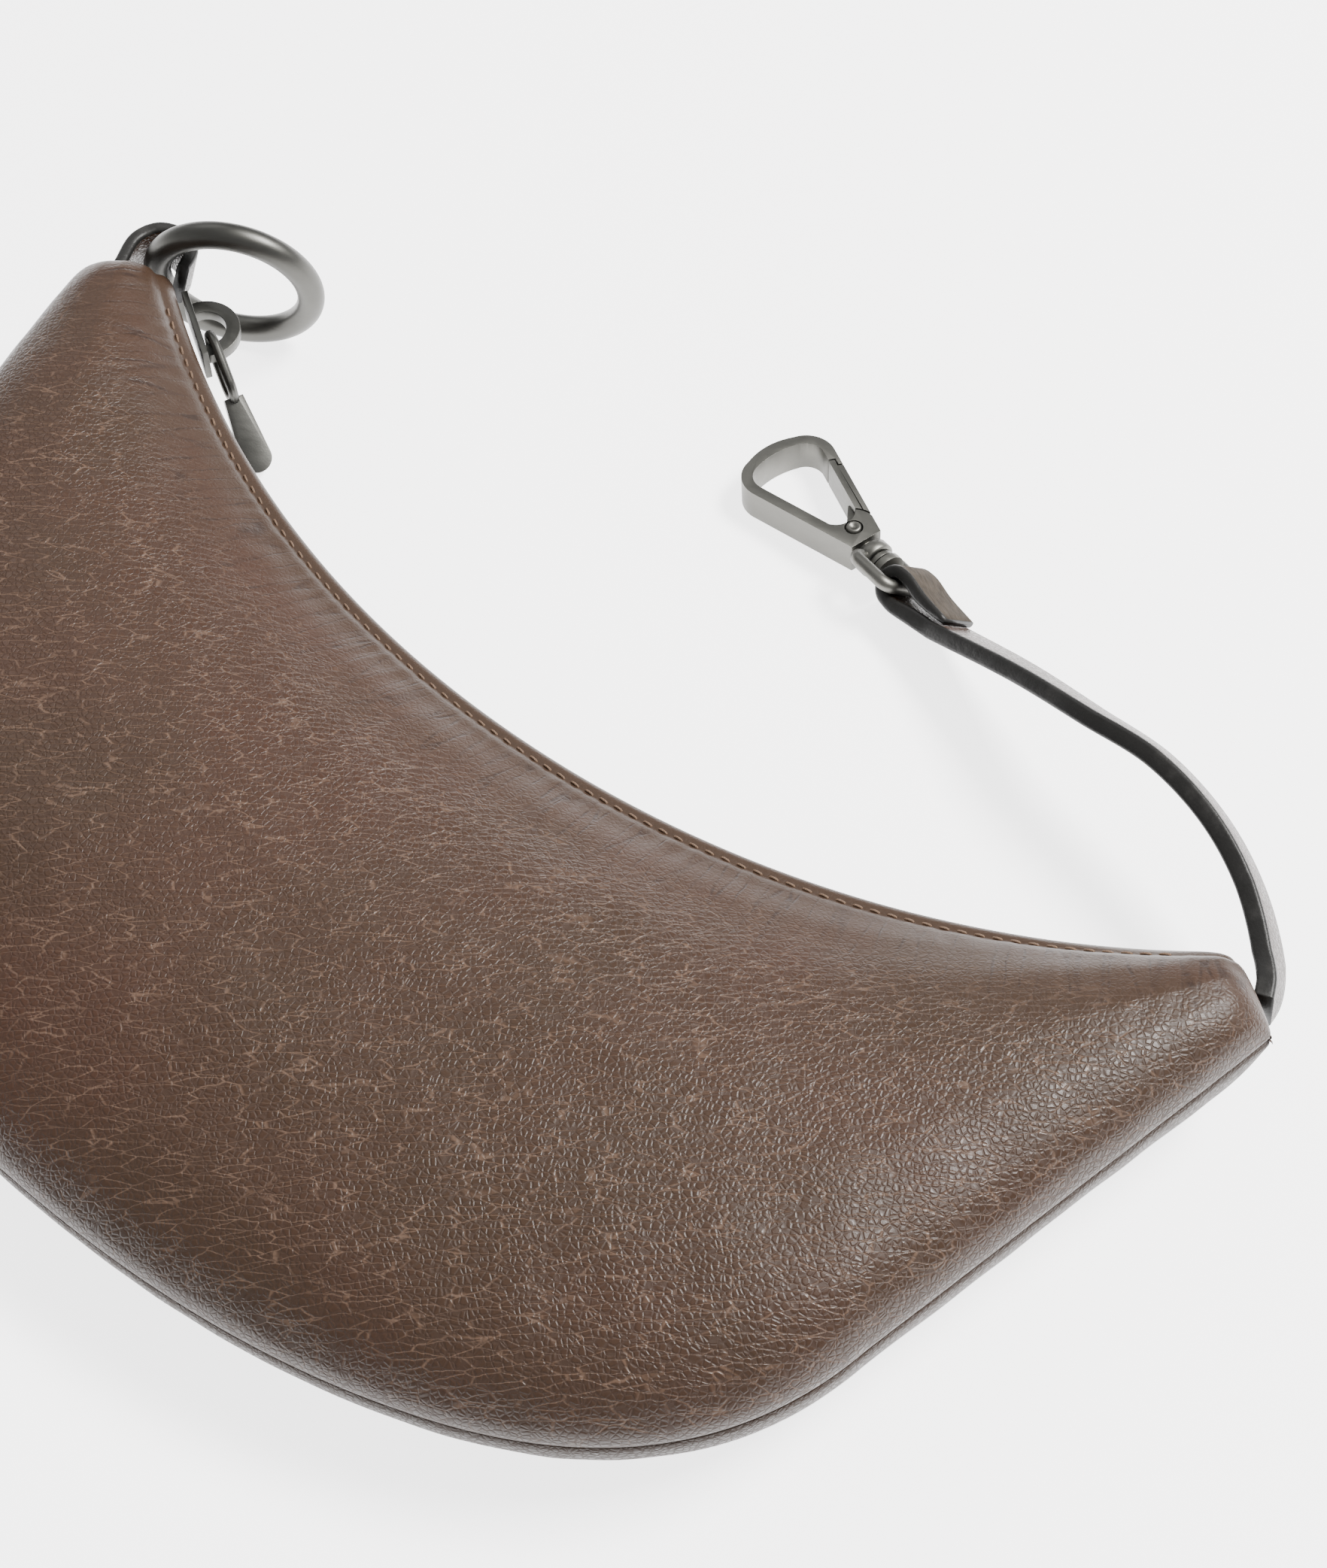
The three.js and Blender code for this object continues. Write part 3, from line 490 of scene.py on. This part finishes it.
def leather_grid(side, section, columns, rows):
    """Grid of a dressed panel: hem, stitch groove, puckers, soft dents and tucked seam."""
    share = column_shares(columns, 16)[:, None]
    zip_x, zip_y = zip_place(share)
    seam_x, seam_y = seam_place(share)
    depth = np.hypot(seam_x - zip_x, seam_y - zip_y)
    hem = HEM_ROWS[None, :] / depth
    start = hem[:, -1:]
    t = 1 - (1 - np.linspace(0, 1, rows)[None, 1:]) ** 1.7
    along = np.concatenate([hem, start + (1 - start) * t], axis=1)
    share = share + np.zeros_like(along)
    grid = leather_surface(share, along, side, section)
    normal = grid_normals(grid, side)
    distance = along * depth
    run = ZIP_RADIUS * ZIP_HALF_ANGLE * share
    x, y = grid[..., 0], grid[..., 1]

    relief = np.zeros_like(along)
    relief[:, :len(HEM_ROWS)] += HEM_RELIEF[None, :]
    fade = np.clip((distance - 2.2) / 3, 0, 1) * np.exp(-np.clip(distance - 4, 0, None) / 9)
    warp = 1.6 * ripple(x, y, 24, 3)
    puckers = np.sin((run + warp) * 2 * math.pi / PUCKER_WIDE) * 0.5
    puckers += np.sin((run * 0.83 + 2 * warp) * 2 * math.pi / PUCKER_NARROW) * 0.3
    relief += PUCKER_HEIGHT * fade * puckers
    inside = np.clip(distance / 16, 0, 1) * np.clip((1 - along) / 0.12, 0, 1) * end_factor(share)
    if side > 0:
        relief += inside * (0.26 * ripple(x, y, 62, 5) + 0.1 * ripple(x, y, 21, 8))
        folds = ripple(x * 0.45 + y * 0.5, y * 0.35 - x * 0.7, 16, 12)
        relief += 0.09 * inside * np.clip(1 - distance / 48, 0, 1) * folds
    wave = 0.1 * ripple(x, y, 13, 21) * np.clip((along - 0.88) / 0.1, 0, 1)
    relief += wave * np.clip((1 - along) / 0.02, 0, 1)

    gap = np.abs(grid[..., 2] - middle_height(share, along))
    relief -= 0.6 * np.clip(1 - gap / 1.5, 0, 1) ** 2 * (along > 0.5)
    flat = grid[..., 2] < 0.6
    relief[flat & (side < 0)] = np.minimum(relief[flat & (side < 0)], 0)
    grid = grid + normal * relief[..., None]

    inward = np.stack([seam_x - zip_x, seam_y - zip_y, np.zeros_like(zip_x)], axis=-1)
    inward = inward / depth[..., None]
    rim = grid[:, :1]
    factor = end_factor(share[:, :1])[..., None]
    drop = np.array([0, 0, -side * 1.0])
    turned = ((3.2, 1.15), (0.45, 1.0), (0.0, 0.55))
    under = [rim + inward * back + drop * down * factor for back, down in turned]
    tuck = grid[:, -1:] - normal[:, -1:] * TUCK
    return np.concatenate(under + [grid, tuck], axis=1)


def to_frame(points):
    return (np.asarray(points, float) + np.array(DRAWING)) * MM


def add_object(name, verts, faces, materials, slots=None, smooth=True):
    mesh = bpy.data.meshes.new(name)
    mesh.from_pydata([tuple(v) for v in verts], [], faces)
    for material in materials:
        mesh.materials.append(material)
    if slots is not None:
        mesh.polygons.foreach_set("material_index", slots)
    mesh.polygons.foreach_set("use_smooth", [smooth] * len(mesh.polygons))
    mesh.update()
    obj = bpy.data.objects.new(name, mesh)
    bpy.context.scene.collection.objects.link(obj)
    return obj


def grid_faces(columns, rows, flip):
    i, j = np.meshgrid(np.arange(columns - 1), np.arange(rows - 1), indexing="ij")
    a = (i * rows + j).ravel()
    quads = np.stack([a, a + 1, a + rows + 1, a + rows], axis=1)
    return (quads[:, ::-1] if flip else quads).tolist()


def swept(sections, wraps):
    """Vertices and faces through a ring of points at each station."""
    count = len(sections[0])
    verts = [tuple(point) for section in sections for point in section]
    faces = []
    last = len(sections) if wraps else len(sections) - 1
    for i in range(last):
        here, there = i * count, (i + 1) % len(sections) * count
        for j in range(count):
            k = (j + 1) % count
            faces.append((here + j, here + k, there + k, there + j))
    if not wraps:
        faces.append(tuple(reversed(range(count))))
        faces.append(tuple(range((len(sections) - 1) * count, len(sections) * count)))
    return verts, faces


def fixed_normals(obj):
    work = bmesh.new()
    work.from_mesh(obj.data)
    bmesh.ops.remove_doubles(work, verts=work.verts, dist=1e-7)
    bmesh.ops.recalc_face_normals(work, faces=work.faces)
    work.to_mesh(obj.data)
    work.free()


def rod_sections(points, radius, sides, normal, wraps):
    total = len(points)
    ring = [2 * math.pi * j / sides for j in range(sides)]
    out = []
    for i, point in enumerate(points):
        before = points[i - 1] if wraps or i else points[0]
        after = points[(i + 1) % total] if wraps or i < total - 1 else points[-1]
        along = (after - before).normalized()
        wide = normal.cross(along).normalized()
        out.append([point + wide * (radius * math.cos(a)) + normal * (radius * math.sin(a)) for a in ring])
    return out


def lathe_sections(profile, place, sides):
    """Rings about the X axis of a place, from rows of position and radius."""
    ring = [2 * math.pi * j / sides for j in range(sides)]
    return [[place @ Vector((x, r * math.cos(a), r * math.sin(a))) for a in ring] for x, r in profile]


# Edges sharper than the first angle are rounded, and faces flatter than the second are joined, in degrees.
SHARP_ANGLE, FLAT_ANGLE = 34, 1.5


def polished(node, name, material, body, width):
    """A copy of a metal node with rounded edges and smooth shading, in the node's place."""
    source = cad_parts[node]
    mesh = source.data.copy()
    mesh.transform(source.matrix_world)
    obj = bpy.data.objects.new(name, mesh)
    bpy.context.scene.collection.objects.link(obj)
    work = bmesh.new()
    work.from_mesh(mesh)
    bmesh.ops.remove_doubles(work, verts=work.verts, dist=2e-6)
    bmesh.ops.dissolve_limit(work, angle_limit=math.radians(FLAT_ANGLE), verts=work.verts,
                             edges=work.edges)
    work.to_mesh(mesh)
    work.free()
    mesh.materials.clear()
    mesh.materials.append(material)
    mesh.polygons.foreach_set("use_smooth", [True] * len(mesh.polygons))
    bevel = obj.modifiers.new("rounding", "BEVEL")
    bevel.width = width
    bevel.segments = 3
    bevel.limit_method = "ANGLE"
    bevel.angle_limit = math.radians(SHARP_ANGLE)
    bevel.harden_normals = True
    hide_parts(node)
    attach(obj, body)
    return obj


def merged(name, parts, material, body):
    """One object from several lists of vertices and faces."""
    verts, faces = [], []
    for more, rings in parts:
        faces += [tuple(k + len(verts) for k in face) for face in rings]
        verts += more
    obj = add_object(name, verts, faces, [material])
    fixed_normals(obj)
    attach(obj, body)
    return obj


# Half a stitch's length, its thread's radius, how much it slants and how deep its ends sink, in millimetres.
STITCH_HALF, THREAD_RADIUS, STITCH_SLANT, STITCH_SINK = 0.92, 0.2, 0.1, 0.5
# Share of the zip's length that is stitched.
STITCHED_SHARE = 0.93


def stitch_parts(side, section, settings):
    """Short threads in the groove, each one dipping into the leather at its ends."""
    pitch = settings.pitch / MM
    reach = ZIP_RADIUS * ZIP_HALF_ANGLE
    count = int(2 * reach * STITCHED_SHARE / pitch)
    line = settings.stitch_line / MM
    parts = []
    for k in range(count):
        run = (k - (count - 1) / 2) * pitch
        ends = []
        for step in (-1, -0.6, 0, 0.6, 1):
            share = np.array([[(run + step * STITCH_HALF) / reach]])
            zip_x, zip_y = zip_place(share)
            seam_x, seam_y = seam_place(share)
            depth = np.hypot(seam_x - zip_x, seam_y - zip_y)
            along = (line + STITCH_SLANT * step) / depth
            point = leather_surface(share, along, side, section)[0, 0]
            sink = -0.12 - STITCH_SINK * abs(step) ** 3
            ends.append(Vector(to_frame(point + np.array([0, 0, side * sink]))))
        sections = rod_sections(ends, THREAD_RADIUS * MM, 8, Vector((0, 0, 1)), False)
        parts.append(swept(sections, False))
    return parts


# Least height of the dressed leather above the surface, in metres.
LOWEST = 0.00005


def make_panel(name, side, section, columns, rows, node):
    settings = bpy.context.scene.pouch_leather
    grid = to_frame(leather_grid(side, section, columns, rows))
    grid[..., 2] = np.maximum(grid[..., 2], LOWEST)
    count, length_rows = grid.shape[:2]
    tint, worn = (settings.brown, 1.0) if side > 0 else (settings.back, 0.0)
    finish = leather_finish(name + "_grain", settings, tint, worn)
    obj = add_object(name, grid.reshape(-1, 3), grid_faces(count, length_rows, side < 0), [finish])
    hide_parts(node)
    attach(obj, "root")
    thread = thread_finish(name + "_thread", settings.thread)
    merged(name + "_stitches", stitch_parts(side, section, settings), thread, "root")


class POUCH_OT_front(bpy.types.Operator):
    """Puffed front panel with its hem and stitches"""
    bl_idname = "pouch.front"
    bl_label = "Front panel"

    def execute(self, context):
        make_panel("front_leather", 1, FRONT_SECTION, 330, 150, "front_panel")
        return {"FINISHED"}


class POUCH_OT_back(bpy.types.Operator):
    """Back panel, flattened where it rests"""
    bl_idname = "pouch.back"
    bl_label = "Back panel"

    def execute(self, context):
        make_panel("back_leather", -1, BACK_SECTION, 260, 100, "back_panel")
        return {"FINISHED"}


# Number of teeth and the share of the zip's length that they fill.
TEETH, TEETH_SHARE = 168, 0.875
# Outline of one tooth, and its sections: place across the zip, half width and half height, in millimetres.
TOOTH_OUTLINE = ((-1, -0.7), (-0.6, -1), (0.6, -1), (1, -0.7), (1, 0.7), (0.6, 1), (-0.6, 1), (-1, 0.7))
TOOTH_SECTIONS = ((-0.95, 0.3, 0.85), (-0.75, 0.46, 1.1), (0.75, 0.46, 1.1), (0.95, 0.3, 0.85))


def arc_sections(corners, share_limit, steps):
    sections = []
    for i in range(steps + 1):
        share = share_limit * (-1 + 2 * i / steps)
        level = middle_height(share, 0)
        ring = []
        for inset, up in corners:
            x, y = zip_place(share, inset)
            ring.append(Vector(to_frame((x, y, level + up))))
        sections.append(ring)
    return sections


class POUCH_OT_zip(bpy.types.Operator):
    """Woven tape and two interlocked rows of teeth"""
    bl_idname = "pouch.zip"
    bl_label = "Zip"

    def execute(self, context):
        tape = tape_finish("tape_weave")
        metal = metal_finish("teeth_plating", context.scene.pouch_metal.dark, 0.32)
        corners = [(3.0, -2.7), (3.0, -0.5), (2.8, 0), (3.0, 0.5), (3.0, 2.7), (3.8, 2.8), (3.8, -2.8)]
        band = merged("zip_cloth", [swept(arc_sections(corners, 0.88, 120), False)], tape, "root")
        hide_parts("zip_tape")
        parts = []
        for k in range(TEETH):
            share = TEETH_SHARE * (-1 + (2 * k + 1) / TEETH)
            side = 1 if k % 2 else -1
            x, y = zip_place(share, 1.6)
            turn = Matrix.Translation(to_frame((x, y, middle_height(share, 0) + side * 0.42)))
            turn = turn @ Matrix.Rotation(ZIP_HALF_ANGLE * share, 4, "Z")
            ring = []
            for depth, wide, tall in TOOTH_SECTIONS:
                ring.append([turn @ (Vector((wide * u, depth, tall * v)) * MM) for u, v in TOOTH_OUTLINE])
            parts.append(swept(ring, False))
        teeth = merged("zip_teeth", parts, metal, "root")
        teeth.data.polygons.foreach_set("use_smooth", [False] * len(teeth.data.polygons))
        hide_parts("zip_chain")
        return {"FINISHED"}


class POUCH_OT_slider(bpy.types.Operator):
    """Slider with its round eye, and the long narrow pull"""
    bl_idname = "pouch.slider"
    bl_label = "Slider and pull"

    def execute(self, context):
        metal = context.scene.pouch_metal
        finish = metal_finish("slider_plating", metal.dark, metal.roughness)
        slider = polished("zip_slider", "slider_cast", finish, "root", metal.bevel)
        pull = polished("zip_pull", "pull_cast", finish, "pull", metal.bevel)
        return {"FINISHED"}


class POUCH_OT_ring(bpy.types.Operator):
    """Round O-ring that stands in the loop"""
    bl_idname = "pouch.ring"
    bl_label = "O-ring"

    def execute(self, context):
        metal = context.scene.pouch_metal
        lean = math.radians(RING_LEAN)
        height = RING_RADIUS * math.cos(lean) + RING_WIRE / 2
        place = Matrix.Translation(to_frame((*RING_PLACE, height)))
        place = place @ Matrix.Rotation(math.radians(RING_TURN), 4, "Z")
        place = place @ Matrix.Rotation(math.pi / 2 + lean, 4, "X")
        steps = 128
        points = []
        for i in range(steps):
            angle = 2 * math.pi * i / steps
            points.append(place @ (Vector((math.cos(angle), math.sin(angle), 0)) * RING_RADIUS * MM))
        axis = place.to_3x3() @ Vector((0, 0, 1))
        sections = rod_sections(points, RING_WIRE / 2 * MM * 0.995, 36, axis, True)
        finish = metal_finish("ring_plating", metal.dark, metal.roughness)
        ring = merged("ring_polished", [swept(sections, True)], finish, "root")
        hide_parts("o_ring")
        return {"FINISHED"}


def strip_outline(thickness, width, bead):
    """Rounded section of a leather strip, as rows of across and along the width."""
    t, w = thickness / 2, width / 2
    rows = []
    for sign_t, sign_w, flipped in ((-1, -1, False), (1, -1, True), (1, 1, False), (-1, 1, True)):
        corner = []
        for k in range(4):
            a = math.pi / 2 * k / 3
            u, v = bead * (1 - math.cos(a)), bead * (1 - math.sin(a))
            corner.append((sign_t * (t - u), sign_w * (w - v)))
        rows += corner[::-1] if flipped else corner
    return rows


# Faces of a strip's section that show its outer and its inner side, and its materials in order.
OUTER_FACE, INNER_FACE = 7, 15
GRAIN, EDGE, FLESH = 0, 1, 2


def strip_object(name, stations, bead, materials, outer):
    """A strip through stations of centre, across and width direction, thickness and width."""
    rings = []
    for centre, out, wide, thickness, width in stations:
        outline = strip_outline(thickness, width, bead)
        rings.append([Vector(to_frame(centre + out * a + wide * b)) for a, b in outline])
    verts, faces = swept(rings, False)
    count = len(rings[0])
    sides = {OUTER_FACE: outer, INNER_FACE: GRAIN}
    slots = [sides.get(index % count, EDGE) for index in range(len(faces) - 2)] + [EDGE, EDGE]
    obj = add_object(name, verts, faces, materials, slots)
    work = bmesh.new()
    work.from_mesh(obj.data)
    bmesh.ops.recalc_face_normals(work, faces=work.faces)
    work.to_mesh(obj.data)
    work.free()
    return obj


def frames_along(points, wides):
    outs = []
    for i, wide in enumerate(wides):
        before, after = points[max(i - 1, 0)], points[min(i + 1, len(points) - 1)]
        out = np.cross(after - before, wide)
        outs.append(-out / np.linalg.norm(out))
    return outs


class POUCH_OT_loop(bpy.types.Operator):
    """Leather loop round the O-ring's wire"""
    bl_idname = "pouch.loop"
    bl_label = "Ring loop"

    def execute(self, context):
        settings = context.scene.pouch_leather
        route = even(catmull([(x, y, LOOP_HEIGHT) for x, y in LOOP_ROUTE], 400), 60)
        lean = math.radians(LOOP_LEAN)
        turn = math.radians(RING_TURN)
        flat = math.sin(lean)
        up = np.array([flat * math.cos(turn), flat * math.sin(turn), math.cos(lean)])
        outs = frames_along(route, [up] * len(route))
        stations = [(point, out, up, LOOP_THICKNESS, LOOP_WIDTH) for point, out in zip(route, outs)]
        materials = [strip_finish("loop_grain", settings), paint_finish("loop_edge", settings)]
        loop = strip_object("loop_leather", stations, 0.7, materials, GRAIN)
        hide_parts("ring_loop")
        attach(loop, "root")
        return {"FINISHED"}


def hook_matrix():
    tilt = math.radians(HOOK_TILT)
    place = Matrix.Translation(Vector(HOOK_PIVOT)) @ Matrix.Rotation(math.radians(HOOK_AZIMUTH), 4, "Z")
    return place @ Matrix.Rotation(-tilt, 4, "Y")


def eye_matrix():
    return hook_matrix() @ Matrix.Rotation(math.radians(EYE_LEAN), 4, "X")


def fold_stations():
    """Stations of the fold round the eye's end bar, in the eye's axes: x, y and thickness."""
    centre = EYE_ROD / 2 + GAP + FOLD_THICKNESS / 2
    spread = (STRAP_THICKNESS + FOLD_THICKNESS) / 2 + GAP
    merge = EYE_END + centre + 3
    rows = [(merge + 4, -STRAP_THICKNESS / 2 + GAP, STRAP_THICKNESS),
            (merge, -spread / 2 - 0.35, STRAP_THICKNESS),
            (EYE_END + 1.6, -centre, FOLD_THICKNESS + 0.3)]
    for i in range(11):
        angle = -math.pi / 2 - math.pi * i / 10
        rows.append((EYE_END + centre * math.cos(angle), centre * math.sin(angle), FOLD_THICKNESS))
    rows.append((EYE_END + 1.6, centre, FOLD_THICKNESS))
    rows.append((merge, spread / 2 + 0.35, FOLD_THICKNESS))
    rows.append((EYE_END + TURNED_BACK, spread / 2 + GAP, STRAP_END))
    return rows


class POUCH_OT_strap(bpy.types.Operator):
    """Thick leather strap with dark edges, folded round the hook's eye"""
    bl_idname = "pouch.strap"
    bl_label = "Strap"

    def execute(self, context):
        settings = context.scene.pouch_leather
        eye = eye_matrix()
        across = np.array(eye.to_3x3() @ Vector((0, 0, 1)))
        fold = [(np.array(eye @ Vector((x, y, 0))), thick) for x, y, thick in fold_stations()]
        route = [row[:3] for row in STRAP_ROUTE] + [tuple(fold[0][0])]
        leans = [row[3] for row in STRAP_ROUTE] + [EYE_LEAN]
        steps = 102
        line = catmull(route, steps)
        points, wides, thicks = [], [], []
        for i in range(steps):
            lean = math.radians(np.interp((len(leans) - 1) * i / steps, range(len(leans)), leans))
            along = line[i + 1] - line[max(i - 1, 0)]
            along = along / np.linalg.norm(along)
            outward = np.array([along[1], -along[0], 0]) / np.hypot(along[0], along[1])
            upright = np.array([0, 0, math.cos(lean)]) - outward * math.sin(lean)
            wide = upright - along * upright.dot(along)
            points.append(line[i])
            wides.append(wide / np.linalg.norm(wide))
            thicks.append(STRAP_THICKNESS)
        fine = catmull([tuple(p) + (t,) for p, t in fold], 72)
        points += [row[:3] for row in fine]
        thicks += list(fine[:, 3])
        wides += [across] * len(fine)
        outs = frames_along(points, wides)
        stations = [(p, o, w, t, STRAP_WIDTH) for p, o, w, t in zip(points, outs, wides, thicks)]
        materials = [strip_finish("strap_grain", settings), paint_finish("strap_edge", settings),
                     flesh_finish("strap_flesh", settings)]
        strap = strip_object("strap_leather", stations, 0.62, materials, FLESH)
        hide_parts("strap")
        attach(strap, "root")
        return {"FINISHED"}


def rivet_parts(place):
    half = HOOK_THICKNESS / 2 + GAP
    profile = [(-half, 0.05), (-half, 0.9), (-half + 0.25, RIVET_RADIUS), (half - 0.25, RIVET_RADIUS),
               (half, RIVET_RADIUS - 0.25), (half, 0.75), (half - 0.3, 0.5), (half - 0.35, 0.05)]
    rings = lathe_sections(profile, place @ Matrix.Rotation(-math.pi / 2, 4, "Y"), 32)
    return swept([[Vector(to_frame(p)) for p in ring] for ring in rings], False)


class POUCH_OT_hook(bpy.types.Operator):
    """Snap hook: frame, gate, rivet and swivel eye"""
    bl_idname = "pouch.hook"
    bl_label = "Snap hook"

    def execute(self, context):
        metal = context.scene.pouch_metal
        finish = metal_finish("hook_plating", metal.grey, metal.roughness * 1.1)
        frame = polished("hook_body", "hook_cast", finish, "hook", metal.bevel)
        gate = polished("hook_gate", "gate_cast", finish, "gate", metal.bevel * 0.8)
        rivet = merged("rivet_head", [rivet_parts(hook_matrix())], finish, "hook")
        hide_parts("gate_rivet")
        place = eye_matrix()
        near, far, half = EYE_TOP + EYE_CORNER, EYE_END - EYE_CORNER, EYE_HALF - EYE_CORNER
        corners = [(near, half, 90), (near, -half, 180), (far, -half, 270), (far, half, 0)]
        path = []
        for x, z, start in corners:
            for i in range(13):
                angle = math.radians(start + 90 * i / 12)
                local = Vector((x + EYE_CORNER * math.cos(angle), 0, z + EYE_CORNER * math.sin(angle)))
                path.append(Vector(to_frame(place @ local)))
        normal = place.to_3x3() @ Vector((0, 1, 0))
        rod = swept(rod_sections(path, EYE_ROD / 2 * MM, 24, normal, True), True)
        low, high = EYE_TOP - EYE_ROD / 2, EYE_TOP + EYE_ROD / 2
        profile = [(low, NECK + GAP), (low, EYE_BOSS - 0.35), (low + 0.35, EYE_BOSS),
                   (high - 0.35, EYE_BOSS), (high, EYE_BOSS - 0.35), (high, NECK + GAP)]
        rings = [[Vector(to_frame(p)) for p in ring] for ring in lathe_sections(profile, place, 40)]
        eye = merged("eye_polished", [rod, swept(rings, True)], finish, "root")
        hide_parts("swivel_eye")
        return {"FINISHED"}


def add_light(name, place, target, size, power, tint):
    data = bpy.data.lights.new(name, "AREA")
    data.shape = "RECTANGLE"
    data.size, data.size_y = size
    data.energy = power
    data.color = tint
    lamp = bpy.data.objects.new(name, data)
    bpy.context.scene.collection.objects.link(lamp)
    lamp.location = place
    lamp.rotation_euler = (Vector(target) - Vector(place)).to_track_quat("-Z", "Y").to_euler()


class POUCH_OT_stage(bpy.types.Operator):
    """Pale floor, soft studio light and the photograph's camera"""
    bl_idname = "pouch.stage"
    bl_label = "Stage"

    def execute(self, context):
        stage = context.scene.pouch_stage
        finish = Finish("floor_paper", specular_ior_level=0.1)
        grain = finish.noise(300)
        finish.set("Base Color", finish.mixed(0.02 * grain, stage.floor, (0.7, 0.7, 0.7)))
        finish.set("Roughness", 0.85)
        finish.set("Emission Color", stage.floor)
        finish.set("Emission Strength", stage.glow)
        half = 3.0
        corners = [(-half, -half, 0), (half, -half, 0), (half, half, 0), (-half, half, 0)]
        floor = add_object("floor_sheet", corners, [(0, 1, 2, 3)], [finish.material], smooth=False)
        floor.visible_diffuse = False
        world = bpy.data.worlds.new("studio")
        world.use_nodes = True
        background = world.node_tree.nodes["Background"]
        background.inputs["Color"].default_value = (1, 1, 1, 1)
        background.inputs["Strength"].default_value = stage.sky
        context.scene.world = world
        add_light("key_light", (0.4, 0.55, 0.95), (0.02, 0, 0), (0.5, 0.34), stage.key, (1, 0.99, 0.97))
        add_light("fill_light", (-0.75, 0.3, 0.8), (-0.04, 0, 0), (0.6, 0.5), stage.fill, (0.98, 0.99, 1))
        data = bpy.data.cameras.new("photo_camera")
        data.sensor_fit = "VERTICAL"
        data.sensor_height = SENSOR
        data.lens = FOCAL_PIXELS / IMAGE_HEIGHT * SENSOR
        data.clip_start = 0.01
        camera = bpy.data.objects.new("photo_camera", data)
        context.scene.collection.objects.link(camera)
        camera.location = Vector(to_frame(CAMERA_PLACE))
        camera.rotation_euler = (math.radians(90 - CAMERA_ELEVATION), 0, math.radians(CAMERA_AZIMUTH))
        context.scene.camera = camera
        return {"FINISHED"}


OPERATORS = (POUCH_OT_stage, POUCH_OT_front, POUCH_OT_back, POUCH_OT_zip, POUCH_OT_slider, POUCH_OT_ring,
             POUCH_OT_loop, POUCH_OT_strap, POUCH_OT_hook)
GROUPS = {"pouch_leather": LeatherSettings, "pouch_metal": MetalSettings, "pouch_stage": StageSettings}


class POUCH_PT_panel(bpy.types.Panel):
    """Lists the pouch's pieces and settings"""
    bl_label = "Crescent Pouch"
    bl_space_type = "VIEW_3D"
    bl_region_type = "UI"
    bl_category = "Pouch"

    def draw(self, context):
        for operator in OPERATORS:
            self.layout.operator(operator.bl_idname)
        for name, group in GROUPS.items():
            for key in group.__annotations__:
                self.layout.prop(getattr(context.scene, name), key)


CLASSES = (*GROUPS.values(), *OPERATORS, POUCH_PT_panel)


def register():
    for item in CLASSES:
        bpy.utils.register_class(item)
    for name, group in GROUPS.items():
        setattr(bpy.types.Scene, name, PointerProperty(type=group))


def unregister():
    for name in GROUPS:
        delattr(bpy.types.Scene, name)
    for item in reversed(CLASSES):
        bpy.utils.unregister_class(item)


def main():
    register()
    for operator in OPERATORS:
        family, name = operator.bl_idname.split(".")
        getattr(getattr(bpy.ops, family), name)()


if __name__ == "__main__":
    main()
